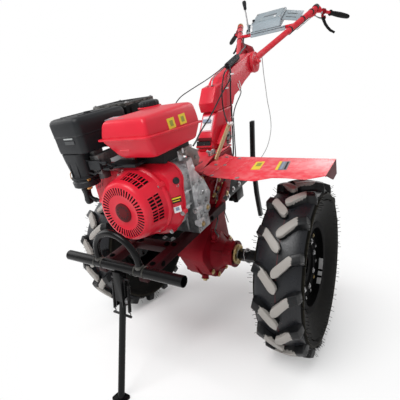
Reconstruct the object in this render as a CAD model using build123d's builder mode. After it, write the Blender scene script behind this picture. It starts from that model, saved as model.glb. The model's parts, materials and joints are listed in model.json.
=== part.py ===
"""Two-wheel walking tractor with a petrol engine, parked nose-down on its front stand.

Machine frame while modelling, in millimetres: origin on the axle line, +X to the machine's left,
+Y to the rear, +Z up, chassis level.  save() tips each piece into the parked attitude, in which the
tyres and the stand's foot are on Z = 0 and the origin is under the middle of the whole machine.
"""
from build123d import *
from math import cos, hypot, pi, radians, sin, tan
import os

os.makedirs("parts", exist_ok=True)

# ---- driving dimensions ---------------------------------------------------------------------
NOSE_DOWN = 14.0          # degrees that the chassis tips forward when parked
AXLE_TO_ORIGIN = -251.0   # axle line's place in front of the origin
SEAT = 0.3                # clearance between curved faces that seat on each other
RUNNING = 5.0             # clearance of moving pieces

TYRE_OD = 660.0
TYRE_W = 170.0
TRACK = 837.0
BEAD_D = 304.8            # 12 inch rim
RIM_W = 140.0
RIM_WALL = 4.0
FLANGE_H = 15.0
DISC_X = 14.0             # disc's place outboard of the tyre's middle
DISC_T = 6.0
WHEEL_BOLTS = 8
WHEEL_PCD = 190.0
WHEEL_BOLT_D = 13.0

SHAFT_AF = 32.0           # hexagon output shaft
JOURNAL_WALL = 3.0        # round part of the shaft, past the flats of the hexagon
JOURNAL_R = SHAFT_AF / 2 + JOURNAL_WALL
HUB_AF = 46.0             # hexagon hub sleeve
HUB_FLANGE_D = 230.0
HUB_FLANGE_T = 8.0
HORN_X = 143.0            # end of each axle horn
HORN_R = 54.0
HORN_ROOT_R = 88.0
HORN_NECK_X = 100.0
CAP_T = 10.0
CASE_R = 113.0            # lower gear case
PTO_OUT_Z = -45.0         # rear output housing
PTO_OUT_R = 55.0
PTO_OUT_REAR = 150.0
CAP_R = 43.0

CRANK_Z = 391.0
DRUM_R = 155.0            # blower housing
DRUM_FRONT = -331.0
DRUM_REAR = -236.0
RECOIL_FRONT = -433.0
PTO_Y = -113.0            # engine's rear mounting face
RAIL_TOP = 230.0
RAIL_X = 90.0
RAIL_W = 34.0
RAIL_H = 30.0

TANK_X = (-88.0, 135.0)
TANK_Y = (-400.0, -112.0)
TANK_SEAM_Z = 583.0
TANK_TOP_Z = 680.0
TANK_BOTTOM_Z = 530.0
SEAM_T = 8.0
SEAM_LIP = 9.0

BUMPER_Y = -504.0
BUMPER_Z = 238.0
BUMPER_D = 34.0
BUMPER_HALF = 248.0
HOOP_D = 22.0
HOOP_R = 89.0
HOOP_RISE = 119.0

STAND_PIVOT = (-529.0, 129.0)   # Y and Z
SLEEVE_LEAN = 11.3
LEG_D = 22.0
FOOT_GROUND_Y = -587.0          # foot's place on the ground, from the axle
PIN_HALF = 38.5
SPRING_X = 33.0
SPRING_D = 11.0

PLATE_Z = (418.0, 428.0)        # plate under the column
PLATE_HALF = 68.0
COLUMN_HALF = 38.0
COLUMN_TOP = 585.0              # box's top, where the hood seats
PLATE_FRONT = 60.0
PLATE_REAR = 240.0
APRON_FRONT = -60.0             # sloping apron between the fenders
APRON_Z = 400.0
FENDER_Z = 390.0
FENDER_T = 3.0
LIP_DROP = 55.0

CLAMP_Y, CLAMP_Z = 668.0, 750.0  # handlebar height pivot
CLAMP_R = 50.0
CLAMP_T = 15.0
CLAMP_BOLT_D = 14.0
HANDLE_D = 32.0
GRIP_D = 40.0
GRIP_L = 128.0

STAKE_T = 14.0
HITCH_PIN_D = 14.0
HITCH_HALF = 26.0
HITCH_Z = (165.0, 216.0)        # underside and top of the hitch beam
HITCH_PIN = (545.0, 190.0)      # Y and Z

SLEEVE_D = 30.0                 # cable sleeve on the column
THROTTLE_D = 6.0
CHOKE_D = 4.0
ROD_D = 5.0
CLUTCH_D = 7.0
SELECTOR_CABLE_D = 6.0
BRAKE_D = 5.0
SLACK_D = 4.0
BUNDLE_D = 10.0

PARKED = Location((0, AXLE_TO_ORIGIN, TYRE_OD / 2), (NOSE_DOWN, 0, 0))


def save(piece, name):
    """Label a finished piece, tip it into the parked attitude and write it."""
    piece.part.label = name
    export_step(piece.part.moved(PARKED), f"parts/{name}.step")


def mirrored(piece):
    """The same piece on the machine's other side."""
    with BuildPart() as twin:
        add(piece.part.mirror(Plane.YZ))
    return twin


def bend_radii(points):
    """Each corner's arc: 0.45 of the shorter run, divided by the tangent of half the turn."""
    radii = []
    for before, here, after in zip(points, points[1:], points[2:]):
        run_in = Vector(*here) - Vector(*before)
        run_out = Vector(*after) - Vector(*here)
        turn = radians(run_in.get_angle(run_out))
        radii.append(0.45 * min(run_in.length, run_out.length) / tan(turn / 2))
    return radii


def tube(points, diameter, radii=None, bore=0.0):
    """A round tube or rod along straight runs joined by tangent arcs."""
    with BuildPart() as bent:
        with BuildLine() as path:
            if len(points) > 2:
                FilletPolyline(*points, radius=radii or bend_radii(points))
            else:
                Line(*points)
        with BuildSketch(Plane(origin=path.line @ 0, z_dir=path.line % 0)):
            Circle(diameter / 2)
            if bore:
                Circle(bore / 2, mode=Mode.SUBTRACT)
        sweep()
    return bent


def slab(outline, low_x, high_x):
    """A plate or block: an outline of (y, z) corners, from low_x to high_x."""
    with BuildPart() as block:
        with BuildSketch(Plane.YZ.offset(low_x)):
            with BuildLine():
                Polyline(*outline, close=True)
            make_face()
        extrude(amount=high_x - low_x)
    return block


# ---- wheels ---------------------------------------------------------------------------------
wheel_x = TRACK / 2
bead_r = BEAD_D / 2
tread_r = TYRE_OD / 2
half_w = TYRE_W / 2
half_rim = RIM_W / 2
flange_r = bead_r + FLANGE_H
flange_t = 4.0

seat_r = bead_r + SEAT
bead_x = half_rim - flange_t - SEAT
toe_x = bead_x - 16
half_profile = {
    "toe": (toe_x, seat_r),
    "heel": (bead_x, seat_r),
    "flange": (bead_x, flange_r + 2),
    "lower_wall": (half_w - 8, flange_r + 12),
    "side": (half_w, tread_r * 0.74),
    "shoulder": (half_w - 6, tread_r - 18),
    "in_toe": (toe_x, flange_r + 4),
    "in_side": (half_w - 16, tread_r * 0.74),
    "in_shoulder": (half_w - 24, tread_r - 38),
}
out = {name: (wheel_x + x, r) for name, (x, r) in half_profile.items()}
inn = {name: (wheel_x - x, r) for name, (x, r) in half_profile.items()}
with BuildPart() as tyre_left:
    with BuildSketch(Plane.XY):
        with BuildLine():
            Polyline(out["toe"], out["heel"], out["flange"], out["lower_wall"])
            ThreePointArc(out["lower_wall"], out["side"], out["shoulder"])
            ThreePointArc(out["shoulder"], (wheel_x, tread_r), inn["shoulder"])
            ThreePointArc(inn["shoulder"], inn["side"], inn["lower_wall"])
            Polyline(inn["lower_wall"], inn["flange"], inn["heel"], inn["toe"], inn["in_toe"])
            ThreePointArc(inn["in_toe"], inn["in_side"], inn["in_shoulder"])
            ThreePointArc(inn["in_shoulder"], (wheel_x, tread_r - 22), out["in_shoulder"])
            ThreePointArc(out["in_shoulder"], out["in_side"], out["in_toe"])
            Line(out["in_toe"], out["toe"])
        make_face()
    revolve(axis=Axis.X)

hub_flange_x = wheel_x + DISC_X - DISC_T / 2 - HUB_FLANGE_T
with BuildPart() as wheel_rim_left:
    with BuildSketch(Plane.XY):
        with BuildLine():
            Polyline(
                (wheel_x - half_rim, flange_r),
                (wheel_x - half_rim + flange_t, flange_r),
                (wheel_x - half_rim + flange_t, bead_r),
                (wheel_x + half_rim - flange_t, bead_r),
                (wheel_x + half_rim - flange_t, flange_r),
                (wheel_x + half_rim, flange_r),
                (wheel_x + half_rim, bead_r - RIM_WALL),
                (wheel_x + DISC_X + DISC_T / 2, bead_r - RIM_WALL),
                (wheel_x + DISC_X + DISC_T / 2, 34),
                (wheel_x + DISC_X - DISC_T / 2, 34),
                (wheel_x + DISC_X - DISC_T / 2, bead_r - RIM_WALL),
                (wheel_x - half_rim, bead_r - RIM_WALL),
                close=True,
            )
        make_face()
    revolve(axis=Axis.X)
    with BuildSketch(Plane.YZ.offset(wheel_x + DISC_X + DISC_T / 2)):
        with PolarLocations(WHEEL_PCD / 2, WHEEL_BOLTS):
            Circle(WHEEL_BOLT_D / 2)
    extrude(amount=-DISC_T, mode=Mode.SUBTRACT)

hub_start = HORN_X + CAP_T + RUNNING
shaft_end = 300.0
with BuildPart() as wheel_hub_left:
    with BuildSketch(Plane.YZ.offset(hub_start)):
        RegularPolygon(HUB_AF / 2, 6, major_radius=False)
    extrude(amount=hub_flange_x - hub_start)
    with BuildSketch(Plane.YZ.offset(hub_flange_x)):
        Circle(HUB_FLANGE_D / 2)
    extrude(amount=HUB_FLANGE_T)
    with BuildSketch(Plane.YZ.offset(hub_start)):
        RegularPolygon(SHAFT_AF / 2 + SEAT, 6, major_radius=False)
    extrude(amount=shaft_end - hub_start + 2, mode=Mode.SUBTRACT)
    with BuildSketch(Plane.YZ.offset(hub_flange_x)):
        with PolarLocations(WHEEL_PCD / 2, WHEEL_BOLTS):
            Circle(WHEEL_BOLT_D / 2)
    extrude(amount=HUB_FLANGE_T, mode=Mode.SUBTRACT)

shaft_start = HORN_X - 27
with BuildPart() as half_shaft_left:
    with BuildSketch(Plane.YZ.offset(shaft_start)):
        RegularPolygon(SHAFT_AF / 2, 6, major_radius=False)
    extrude(amount=shaft_end - shaft_start)
    with BuildSketch(Plane.YZ.offset(shaft_start)):
        Circle(JOURNAL_R)
    extrude(amount=HORN_X + CAP_T - shaft_start)

for name, left in {
    "tyre": tyre_left,
    "wheel_rim": wheel_rim_left,
    "wheel_hub": wheel_hub_left,
    "half_shaft": half_shaft_left,
}.items():
    save(left, f"{name}_left")
    save(mirrored(left), f"{name}_right")

# ---- gearbox --------------------------------------------------------------------------------
case_half = 58.0
neck_half = 70.0
split_z = 222.0
with BuildPart() as gearbox_lower:
    with BuildSketch(Plane.YZ.offset(-case_half)):
        with Locations((0, 0)):
            Circle(CASE_R)
        with Locations((-88, 42)):
            Circle(50)
        with Locations((88, 150)):
            Circle(62)
        make_hull()
        with Locations((0, split_z + 100)):
            Rectangle(500, 200, mode=Mode.SUBTRACT)
    extrude(amount=2 * case_half)
    with BuildSketch(Plane.XZ):
        with Locations((0, PTO_OUT_Z)):
            Circle(PTO_OUT_R)
    extrude(amount=-PTO_OUT_REAR)
    for side in (1, -1):
        with BuildSketch(Plane.YZ.offset(side * case_half)):
            Circle(HORN_ROOT_R)
        with BuildSketch(Plane.YZ.offset(side * HORN_NECK_X)):
            Circle(HORN_R)
        loft()
        with BuildSketch(Plane.YZ.offset(side * HORN_NECK_X)):
            Circle(HORN_R)
        extrude(amount=side * (HORN_X - HORN_NECK_X))
        with BuildSketch(Plane.YZ.offset(side * HORN_X)):
            Circle(JOURNAL_R + RUNNING / 2)
        extrude(amount=-side * 35, mode=Mode.SUBTRACT)
save(gearbox_lower, "gearbox_lower")

neck_front = -20.0
gearbox_upper = slab(
    [
        (neck_front, APRON_Z - 8),
        (neck_front, 300),
        (15, split_z),
        (150, split_z),
        (235, 340),
        (235, PLATE_Z[0]),
        (PLATE_FRONT, PLATE_Z[0]),
    ],
    -neck_half,
    neck_half,
)
save(gearbox_upper, "gearbox_upper")

housing_top = APRON_Z - 12
with BuildPart() as clutch_housing:
    with BuildSketch(Plane.XZ.offset(-PTO_Y)):
        with Locations((0, CRANK_Z)):
            Circle(105)
        with Locations((0, housing_top + 100)):
            Rectangle(300, 200, mode=Mode.SUBTRACT)
    extrude(amount=-15)
    with BuildSketch(Plane.XZ.offset(-PTO_Y)):
        with Locations((0, CRANK_Z)):
            Circle(75)
        with Locations((0, housing_top + 100)):
            Rectangle(300, 200, mode=Mode.SUBTRACT)
    extrude(amount=PTO_Y - neck_front)
save(clutch_housing, "clutch_housing")

with BuildPart() as axle_caps:
    for side in (1, -1):
        with BuildSketch(Plane.YZ.offset(side * HORN_X)):
            Circle(CAP_R)
            Circle(JOURNAL_R + SEAT, mode=Mode.SUBTRACT)
        extrude(amount=side * CAP_T)
save(axle_caps, "axle_caps")

# ---- chassis front --------------------------------------------------------------------------
rail_outline = [
    (BUMPER_Y, RAIL_TOP),
    (BUMPER_Y, RAIL_TOP - RAIL_H),
    (30, RAIL_TOP - RAIL_H),
    (30, RAIL_TOP),
]
with BuildPart() as engine_frame:
    for side in (1, -1):
        inner = side * (RAIL_X - RAIL_W / 2)
        outer = side * (RAIL_X + RAIL_W / 2)
        add(slab(rail_outline, min(inner, outer), max(inner, outer)).part)
    for cross_y in (-330, -160):
        with Locations((0, cross_y, RAIL_TOP - RAIL_H / 2)):
            Box(2 * RAIL_X, 40, RAIL_H - 6)
    with Locations((0, BUMPER_Y, BUMPER_Z)):
        Cylinder(BUMPER_D / 2 + SEAT, 4 * RAIL_X, rotation=(0, 90, 0), mode=Mode.SUBTRACT)
save(engine_frame, "engine_frame")

with BuildPart() as front_bumper:
    with Locations((0, BUMPER_Y, BUMPER_Z)):
        Cylinder(BUMPER_D / 2, 2 * BUMPER_HALF, rotation=(0, 90, 0))
save(front_bumper, "front_bumper")

with BuildPart() as bumper_hoop:
    hoop_leg = HOOP_RISE - HOOP_R
    hoop_z = BUMPER_Z + hoop_leg
    with BuildLine(Plane.XZ.offset(-BUMPER_Y)) as hoop_path:
        Line((-HOOP_R, BUMPER_Z), (-HOOP_R, hoop_z))
        ThreePointArc((-HOOP_R, hoop_z), (0, hoop_z + HOOP_R), (HOOP_R, hoop_z))
        Line((HOOP_R, hoop_z), (HOOP_R, BUMPER_Z))
    with BuildSketch(Plane(origin=(-HOOP_R, BUMPER_Y, BUMPER_Z), z_dir=(0, 0, 1))):
        Circle(HOOP_D / 2)
    sweep()
    with Locations((0, BUMPER_Y, BUMPER_Z)):
        Cylinder(BUMPER_D / 2 + SEAT, 2 * BUMPER_HALF, rotation=(0, 90, 0), mode=Mode.SUBTRACT)
save(bumper_hoop, "bumper_hoop")

# ---- front stand ----------------------------------------------------------------------------
pivot_y, pivot_z = STAND_PIVOT
tip = radians(NOSE_DOWN)
foot_y = FOOT_GROUND_Y * cos(tip) - TYRE_OD / 2 * sin(tip)
foot_z = -FOOT_GROUND_Y * sin(tip) - TYRE_OD / 2 * cos(tip)
sleeve_up = (0, sin(radians(SLEEVE_LEAN)), cos(radians(SLEEVE_LEAN)))
sleeve_plane = Plane(origin=(0, pivot_y, pivot_z), x_dir=(1, 0, 0), z_dir=sleeve_up)
leg_up = (Vector(0, pivot_y, pivot_z) - Vector(0, foot_y, foot_z)).normalized()
leg_length = hypot(pivot_y - foot_y, pivot_z - foot_z)
leg_plane = Plane(origin=(0, pivot_y, pivot_z), x_dir=(1, 0, 0), z_dir=leg_up)
cheek_in = LEG_D / 2 + 1.0
cheek_out = cheek_in + 3.5
upper_pin_up = 73.0
lower_pin_down = 49.0

with BuildPart(sleeve_plane) as stand_bracket:
    for side in (1, -1):
        with Locations((side * (cheek_in + cheek_out) / 2, -1, 40)):
            Box(cheek_out - cheek_in, 30, 116)
    with Locations((0, -14.25, 49)):
        Box(2 * cheek_out, 3.5, 98)
    with Locations((0, -6, 92)):
        Box(2 * cheek_in, 20, 12)
    with Locations((0, 0, upper_pin_up)):
        Cylinder(4, 2 * PIN_HALF, rotation=(0, 90, 0))
    with Locations((0, 0, 0)):
        Cylinder(4, 2 * cheek_out + 8, rotation=(0, 90, 0))
with BuildPart() as stand_bracket_seated:
    add(stand_bracket.part)
    with Locations((0, BUMPER_Y, BUMPER_Z)):
        Cylinder(BUMPER_D / 2, 4 * RAIL_X, rotation=(0, 90, 0), mode=Mode.SUBTRACT)
save(stand_bracket_seated, "stand_bracket")

ground = Plane(origin=(0, foot_y, foot_z), x_dir=(1, 0, 0), z_dir=(0, sin(tip), cos(tip)))
with BuildPart() as stand_leg:
    with BuildSketch(leg_plane):
        Circle(LEG_D / 2)
    extrude(amount=-leg_length + 2)
    with BuildSketch(Plane(origin=leg_plane.origin, x_dir=(0, 1, 0), z_dir=(1, 0, 0))):
        Circle(LEG_D / 2)
    extrude(amount=LEG_D / 2, both=True)
    with Locations(leg_plane.location):
        with Locations((0, 0, -lower_pin_down)):
            Cylinder(4, 2 * PIN_HALF, rotation=(0, 90, 0))
        Cylinder(4 + SEAT, 80, rotation=(0, 90, 0), mode=Mode.SUBTRACT)
    with BuildSketch(ground):
        RectangleRounded(50, 40, 8)
    extrude(amount=6)
save(stand_leg, "stand_leg")

upper_pin = Vector(0, pivot_y, pivot_z) + Vector(*sleeve_up) * upper_pin_up
lower_pin = Vector(0, pivot_y, pivot_z) - leg_up * lower_pin_down
along = (lower_pin - upper_pin).normalized()
spring_gap = 4 + SEAT
with BuildPart() as stand_springs:
    for side in (1, -1):
        start = upper_pin + along * spring_gap + Vector(side * SPRING_X, 0, 0)
        with BuildSketch(Plane(origin=start, z_dir=along)):
            Circle(SPRING_D / 2)
        extrude(amount=(lower_pin - upper_pin).length - 2 * spring_gap)
save(stand_springs, "stand_springs")

# ---- engine ---------------------------------------------------------------------------------
side_outline = [
    (DRUM_REAR, RAIL_TOP),
    (DRUM_REAR, 500),
    (-205, 462),
    (-150, 400),
    (-122, 345),
    (-160, 275),
    (-160, RAIL_TOP),
]
with BuildPart() as engine_crankcase:
    add(slab(side_outline, -120, 140).part)
    with BuildSketch(Plane.XZ.offset(160)):
        with Locations((0, CRANK_Z)):
            Circle(88)
    extrude(amount=PTO_Y * -1 - 160)
    for post_x in (-40, 95):
        with Locations((post_x, -216, (490 + TANK_BOTTOM_Z) / 2)):
            Box(24, 30, TANK_BOTTOM_Z - 490)
        with Locations((post_x, -180, TANK_BOTTOM_Z - 5)):
            Box(24, 80, 10)
save(engine_crankcase, "engine_crankcase")

with BuildPart() as cylinder_block:
    with BuildSketch(Plane.XZ.offset(-DRUM_REAR)):
        with BuildLine():
            Polyline((-120, 372), (-120, 505), (-150, 530), (-225, 530), (-255, 495), (-262, 440), (-240, 388), close=True)
        make_face()
    extrude(amount=-106)
save(cylinder_block, "cylinder_block")

with BuildPart() as blower_housing:
    with BuildSketch(Plane.XZ.offset(-DRUM_REAR)):
        with BuildLine():
            Line((DRUM_R, CRANK_Z), (DRUM_R, 455))
            RadiusArc((DRUM_R, 455), (96, 514), 59)
            Polyline((96, 514), (-170, 514), (-250, 480), (-250, 377), (-DRUM_R, CRANK_Z - 30))
            ThreePointArc((-DRUM_R, CRANK_Z - 30), (0, CRANK_Z - DRUM_R), (DRUM_R, CRANK_Z))
        make_face()
    extrude(amount=DRUM_REAR - DRUM_FRONT)
save(blower_housing, "blower_housing")

with BuildPart() as recoil_cover:
    with BuildSketch(Plane.XY.offset(CRANK_Z)):
        with BuildLine():
            Polyline(
                (0, DRUM_FRONT),
                (134, DRUM_FRONT),
                (134, -345),
                (116, -366),
                (100, -424),
                (82, RECOIL_FRONT),
                (0, RECOIL_FRONT),
                close=True,
            )
        make_face()
    revolve(axis=Axis((0, 0, CRANK_Z), (0, 1, 0)))
    with Locations((-148, -385, 404)):
        Box(92, 18, 16)
save(recoil_cover, "recoil_cover")

with BuildPart() as starter_grip:
    with Locations((-194 - 14 - SEAT, -385, 390)):
        Box(28, 30, 84)
    fillet(starter_grip.edges().filter_by(Axis.Z), 9)
save(starter_grip, "starter_grip")

tank_mid = ((TANK_X[0] + TANK_X[1]) / 2, (TANK_Y[0] + TANK_Y[1]) / 2)
tank_size = (TANK_X[1] - TANK_X[0], TANK_Y[1] - TANK_Y[0])
with BuildPart() as fuel_tank:
    with BuildSketch(Plane.XY.offset(TANK_SEAM_Z - SEAM_T / 2)):
        with Locations(tank_mid):
            RectangleRounded(tank_size[0] + 2 * SEAM_LIP, tank_size[1] + 2 * SEAM_LIP, 24)
    extrude(amount=SEAM_T)
    with BuildSketch(Plane.XY.offset(TANK_SEAM_Z + SEAM_T / 2)):
        with Locations(tank_mid):
            RectangleRounded(tank_size[0], tank_size[1], 20)
    with BuildSketch(Plane.XY.offset(TANK_TOP_Z - 14)):
        with Locations(tank_mid):
            RectangleRounded(tank_size[0] - 20, tank_size[1] - 24, 26)
    with BuildSketch(Plane.XY.offset(TANK_TOP_Z)):
        with Locations(tank_mid):
            RectangleRounded(tank_size[0] - 48, tank_size[1] - 52, 22)
    loft(ruled=True)
    with BuildSketch(Plane.XY.offset(TANK_SEAM_Z - SEAM_T / 2)):
        with Locations(tank_mid):
            RectangleRounded(tank_size[0], tank_size[1], 20)
    with BuildSketch(Plane.XY.offset(TANK_BOTTOM_Z)):
        with Locations((tank_mid[0] + 8, tank_mid[1])):
            RectangleRounded(tank_size[0] - 70, tank_size[1] - 40, 20)
    loft(ruled=True)
save(fuel_tank, "fuel_tank")

with BuildPart() as fuel_cap:
    with BuildSketch(Plane.XY.offset(TANK_TOP_Z)):
        with Locations((-14, -176)):
            Circle(36)
    extrude(amount=20)
    fillet(fuel_cap.faces().sort_by(Axis.Z)[-1].edges(), 5)
save(fuel_cap, "fuel_cap")

cleaner_x = (-250.0, TANK_X[0] - SEAM_LIP - 4)
with BuildPart() as air_cleaner:
    with BuildSketch(Plane.XY.offset(600)):
        with Locations(((cleaner_x[0] + cleaner_x[1]) / 2, -315)):
            RectangleRounded(cleaner_x[1] - cleaner_x[0], 230, 16)
    extrude(amount=100)
    with BuildSketch(Plane.XY.offset(600)):
        with Locations(((cleaner_x[0] + cleaner_x[1]) / 2, -315)):
            RectangleRounded(cleaner_x[1] - cleaner_x[0], 230, 16)
    with BuildSketch(Plane.XY.offset(583)):
        with Locations(((cleaner_x[0] + cleaner_x[1]) / 2, -315)):
            RectangleRounded(cleaner_x[1] - cleaner_x[0] - 24, 206, 16)
    loft()
    fillet(air_cleaner.faces().sort_by(Axis.Z)[-1].edges(), 10)
save(air_cleaner, "air_cleaner")

bowl_centre = (-188.0, -386.0)
with BuildPart() as air_cleaner_bowl:
    with BuildSketch(Plane.XY.offset(583)):
        with Locations(bowl_centre):
            RectangleRounded(96, 78, 20)
    with BuildSketch(Plane.XY.offset(478)):
        with Locations(bowl_centre):
            RectangleRounded(84, 70, 30)
    loft()
    with BuildSketch(Plane.XY.offset(478)):
        with Locations(bowl_centre):
            Circle(48)
    extrude(amount=-38)
save(air_cleaner_bowl, "air_cleaner_bowl")

with BuildPart() as carburettor:
    with Locations((-112, -366, 538)):
        Box(40, 50, 62)
    with BuildSketch(Plane.XY.offset(507)):
        with Locations((-112, -366)):
            Circle(20)
    extrude(amount=-20)
    with Locations((-122, -366, 574)):
        Box(20, 40, 17.4)
    with Locations((-118, -283, 555)):
        Box(28, 116, 28)
    with Locations((-152, -222, 551)):
        Box(60, 30, 42)
save(carburettor, "carburettor")

guard_x = (-300.0, TANK_X[0] - SEAM_LIP - 4)
guard_y = (-192.0, -20.0)
guard_z = (548.0, 706.0)
with BuildPart() as muffler_guard:
    with Locations(((guard_x[0] + guard_x[1]) / 2, (guard_y[0] + guard_y[1]) / 2, (guard_z[0] + guard_z[1]) / 2)):
        Box(guard_x[1] - guard_x[0], guard_y[1] - guard_y[0], guard_z[1] - guard_z[0])
    fillet(muffler_guard.edges().filter_by(Axis.Z), 22)
    offset(amount=-2.5, openings=muffler_guard.faces().sort_by(Axis.Z)[0])
save(muffler_guard, "muffler_guard")

with BuildPart() as muffler:
    with Locations(((guard_x[0] + guard_x[1]) / 2, (guard_y[0] + guard_y[1]) / 2, (guard_z[0] + guard_z[1]) / 2)):
        Box(guard_x[1] - guard_x[0] - 6, guard_y[1] - guard_y[0] - 6, guard_z[1] - guard_z[0] - 6)
    fillet(muffler.edges().filter_by(Axis.Z), 20)
    with Locations((-190, -150, 542)):
        Box(50, 36, 24)
save(muffler, "muffler")

throttle_plate = slab([(-215, 500), (-150, 500), (-120, 470), (-118, 520), (-150, 529), (-215, 529)], 108, 112)
save(throttle_plate, "throttle_bracket")

# ---- fenders and column ---------------------------------------------------------------------
fender_outline = [
    (119, 155),
    (531, 108),
    (533, -61),
    (478, -98),
    (413, -88),
    (368, -88),
    (312, -123),
    (247, -113),
    (135, -93),
    (119, -82),
]
with BuildPart() as fender_left:
    with BuildSketch(Plane.XY.offset(FENDER_Z - FENDER_T / 2)):
        with BuildLine():
            Polyline(*fender_outline, close=True)
        make_face()
    extrude(amount=FENDER_T)
    with BuildSketch(Plane.YZ.offset(533 - FENDER_T)):
        with BuildLine():
            Polyline(
                (-61, FENDER_Z), (108, FENDER_Z), (112, FENDER_Z - LIP_DROP), (50, FENDER_Z - LIP_DROP), close=True
            )
        make_face()
    extrude(amount=FENDER_T)
    with BuildSketch(Plane.XZ.offset(82)):
        with BuildLine():
            Polyline(
                (119, FENDER_Z - FENDER_T / 2),
                (121, FENDER_Z + FENDER_T / 2),
                (77, 407),
                (77, 403),
                close=True,
            )
        make_face()
    extrude(amount=-232)
    with Locations((neck_half + 4.5, 70, 396)):
        Box(9, 110, 20)
save(fender_left, "fender_left")
save(mirrored(fender_left), "fender_right")

with BuildPart() as column_plate:
    add(
        slab(
            [
                (PLATE_FRONT, PLATE_Z[0]),
                (APRON_FRONT, APRON_Z - 8),
                (APRON_FRONT, APRON_Z),
                (PLATE_FRONT, PLATE_Z[1]),
                (PLATE_REAR, PLATE_Z[1]),
                (PLATE_REAR, PLATE_Z[0]),
            ],
            -PLATE_HALF,
            PLATE_HALF,
        ).part
    )
save(column_plate, "column_plate")

column_box = slab(
    [
        (112, PLATE_Z[1]),
        (116, 452),
        (136, 500),
        (204, COLUMN_TOP),
        (371, COLUMN_TOP),
        (328, 495),
        (312, PLATE_Z[1]),
    ],
    -COLUMN_HALF,
    COLUMN_HALF,
)
save(column_box, "column_box")

arm_half = COLUMN_HALF
with BuildPart() as column_arm:
    add(
        slab(
            [
                (188, COLUMN_TOP),
                (180, 625),
                (226, 686),
                (290, 694),
                (325, 718),
                (430, 752),
                (583, 784),
                (CLAMP_Y - 8, CLAMP_Z + CLAMP_R - 1),
                (CLAMP_Y, CLAMP_Z),
                (CLAMP_Y - 14, CLAMP_Z - 37),
                (608, 692),
                (536, 670),
                (464, 639),
                (401, 621),
                (372, COLUMN_TOP),
            ],
            -arm_half,
            arm_half,
        ).part
    )
    with Locations((0, CLAMP_Y, CLAMP_Z)):
        Cylinder(CLAMP_R, 2 * arm_half, rotation=(0, 90, 0))
        Cylinder(CLAMP_BOLT_D / 2 + SEAT, 2 * arm_half, rotation=(0, 90, 0), mode=Mode.SUBTRACT)
save(column_arm, "column_arm")

selector_x = 78.0
with BuildPart() as selector_arm:
    with BuildSketch(Plane.YZ.offset(selector_x)):
        with BuildLine():
            Polyline((200, 520), (236, 504), (76, 411), (51, 420), close=True)
        make_face()
    extrude(amount=6)
    with Locations(((COLUMN_HALF + selector_x) / 2, 150, 468)):
        Cylinder(9, selector_x - COLUMN_HALF, rotation=(0, 90, 0))
save(selector_arm, "selector_arm")

# ---- hitch and depth stake ------------------------------------------------------------------
stake_front = [(594, 255), (590, 114)]   # straight part of the stake's front edge, Y and Z


def stake_y(z):
    """The stake's front edge at a height on its straight part."""
    (top_y, top_z), (low_y, low_z) = stake_front
    return low_y + (top_y - low_y) * (z - low_z) / (top_z - low_z)


with BuildPart() as hitch_beam:
    add(
        slab(
            [
                (150.4, 222),
                (150.4, 150),
                (149.4, 135.7),
                (139.3, 94.5),
                (298, HITCH_Z[0]),
                (stake_y(HITCH_Z[0]), HITCH_Z[0]),
                (stake_y(HITCH_Z[1]), HITCH_Z[1]),
                (300, HITCH_Z[1]),
                (235, 318),
            ],
            -HITCH_HALF,
            HITCH_HALF,
        ).part
    )
    with Locations((0, HITCH_PIN[0], HITCH_PIN[1])):
        Cylinder(HITCH_PIN_D / 2, 2 * HITCH_HALF, rotation=(0, 90, 0), mode=Mode.SUBTRACT)
save(hitch_beam, "hitch_beam")

with BuildPart() as hitch_socket:
    with Locations((0, 376, (107 + HITCH_Z[0]) / 2)):
        Box(64, 136, HITCH_Z[0] - 107)
    with BuildSketch(Plane.XY.offset(107)):
        with Locations((0, 360)):
            Circle(16)
    extrude(amount=-16)
save(hitch_socket, "hitch_socket")

with BuildPart() as depth_stake:
    with BuildSketch(Plane.YZ.offset(-STAKE_T / 2)):
        with BuildLine():
            Polyline(
                (640, 446), *stake_front, (590, 29), (600, -54), (612, -131),
                (642, -131), (630, -54), (620, 29), (620, 114), (624, 255), (670, 446), close=True,
            )
        make_face()
    extrude(amount=STAKE_T)
save(depth_stake, "depth_stake")

# ---- handlebar ------------------------------------------------------------------------------
clamp_x = arm_half + 0.5
handle_start = (arm_half + 1 + HANDLE_D / 2, 695.0, 772.5)
handle_bend = (245.0, 1211.0, 980.0)
handle_end = (396.0, 1349.0, 912.0)
handle_left = tube([handle_start, handle_bend, handle_end], HANDLE_D, radii=[60])
with BuildPart() as handlebar:
    for side in (1, -1):
        with Locations((side * (clamp_x + CLAMP_T / 2), CLAMP_Y, CLAMP_Z)):
            Cylinder(CLAMP_R, CLAMP_T, rotation=(0, 90, 0))
    add(handle_left.part)
    add(handle_left.part.mirror(Plane.YZ))
    with Locations((0, CLAMP_Y, CLAMP_Z)):
        Cylinder(CLAMP_BOLT_D / 2, 2 * (clamp_x + CLAMP_T) + 24, rotation=(0, 90, 0))
    with Locations((0, 1000, 902)):
        Cylinder(10, 330, rotation=(0, 90, 0))
save(handlebar, "handlebar")

control_panel = slab([(985, 912.3), (1008, 958), (1135, 1020), (1155, 975), (1010, 912.3)], -92, 94)
save(control_panel, "control_panel")

# ---- what the hands hold --------------------------------------------------------------------
grip_along = (Vector(*handle_end) - Vector(*handle_bend)).normalized()
grip_start = Vector(*handle_end) - grip_along * GRIP_L
with BuildPart() as grip_left:
    with BuildSketch(Plane(origin=grip_start, z_dir=grip_along)):
        Circle(GRIP_D / 2)
        Circle(HANDLE_D / 2 + SEAT, mode=Mode.SUBTRACT)
    extrude(amount=GRIP_L)
    with BuildSketch(Plane(origin=Vector(*handle_end) + grip_along * SEAT, z_dir=grip_along)):
        Circle(GRIP_D / 2)
    extrude(amount=6)
with BuildPart() as hand_grips:
    add(grip_left.part)
    add(grip_left.part.mirror(Plane.YZ))
save(hand_grips, "hand_grips")

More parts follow.
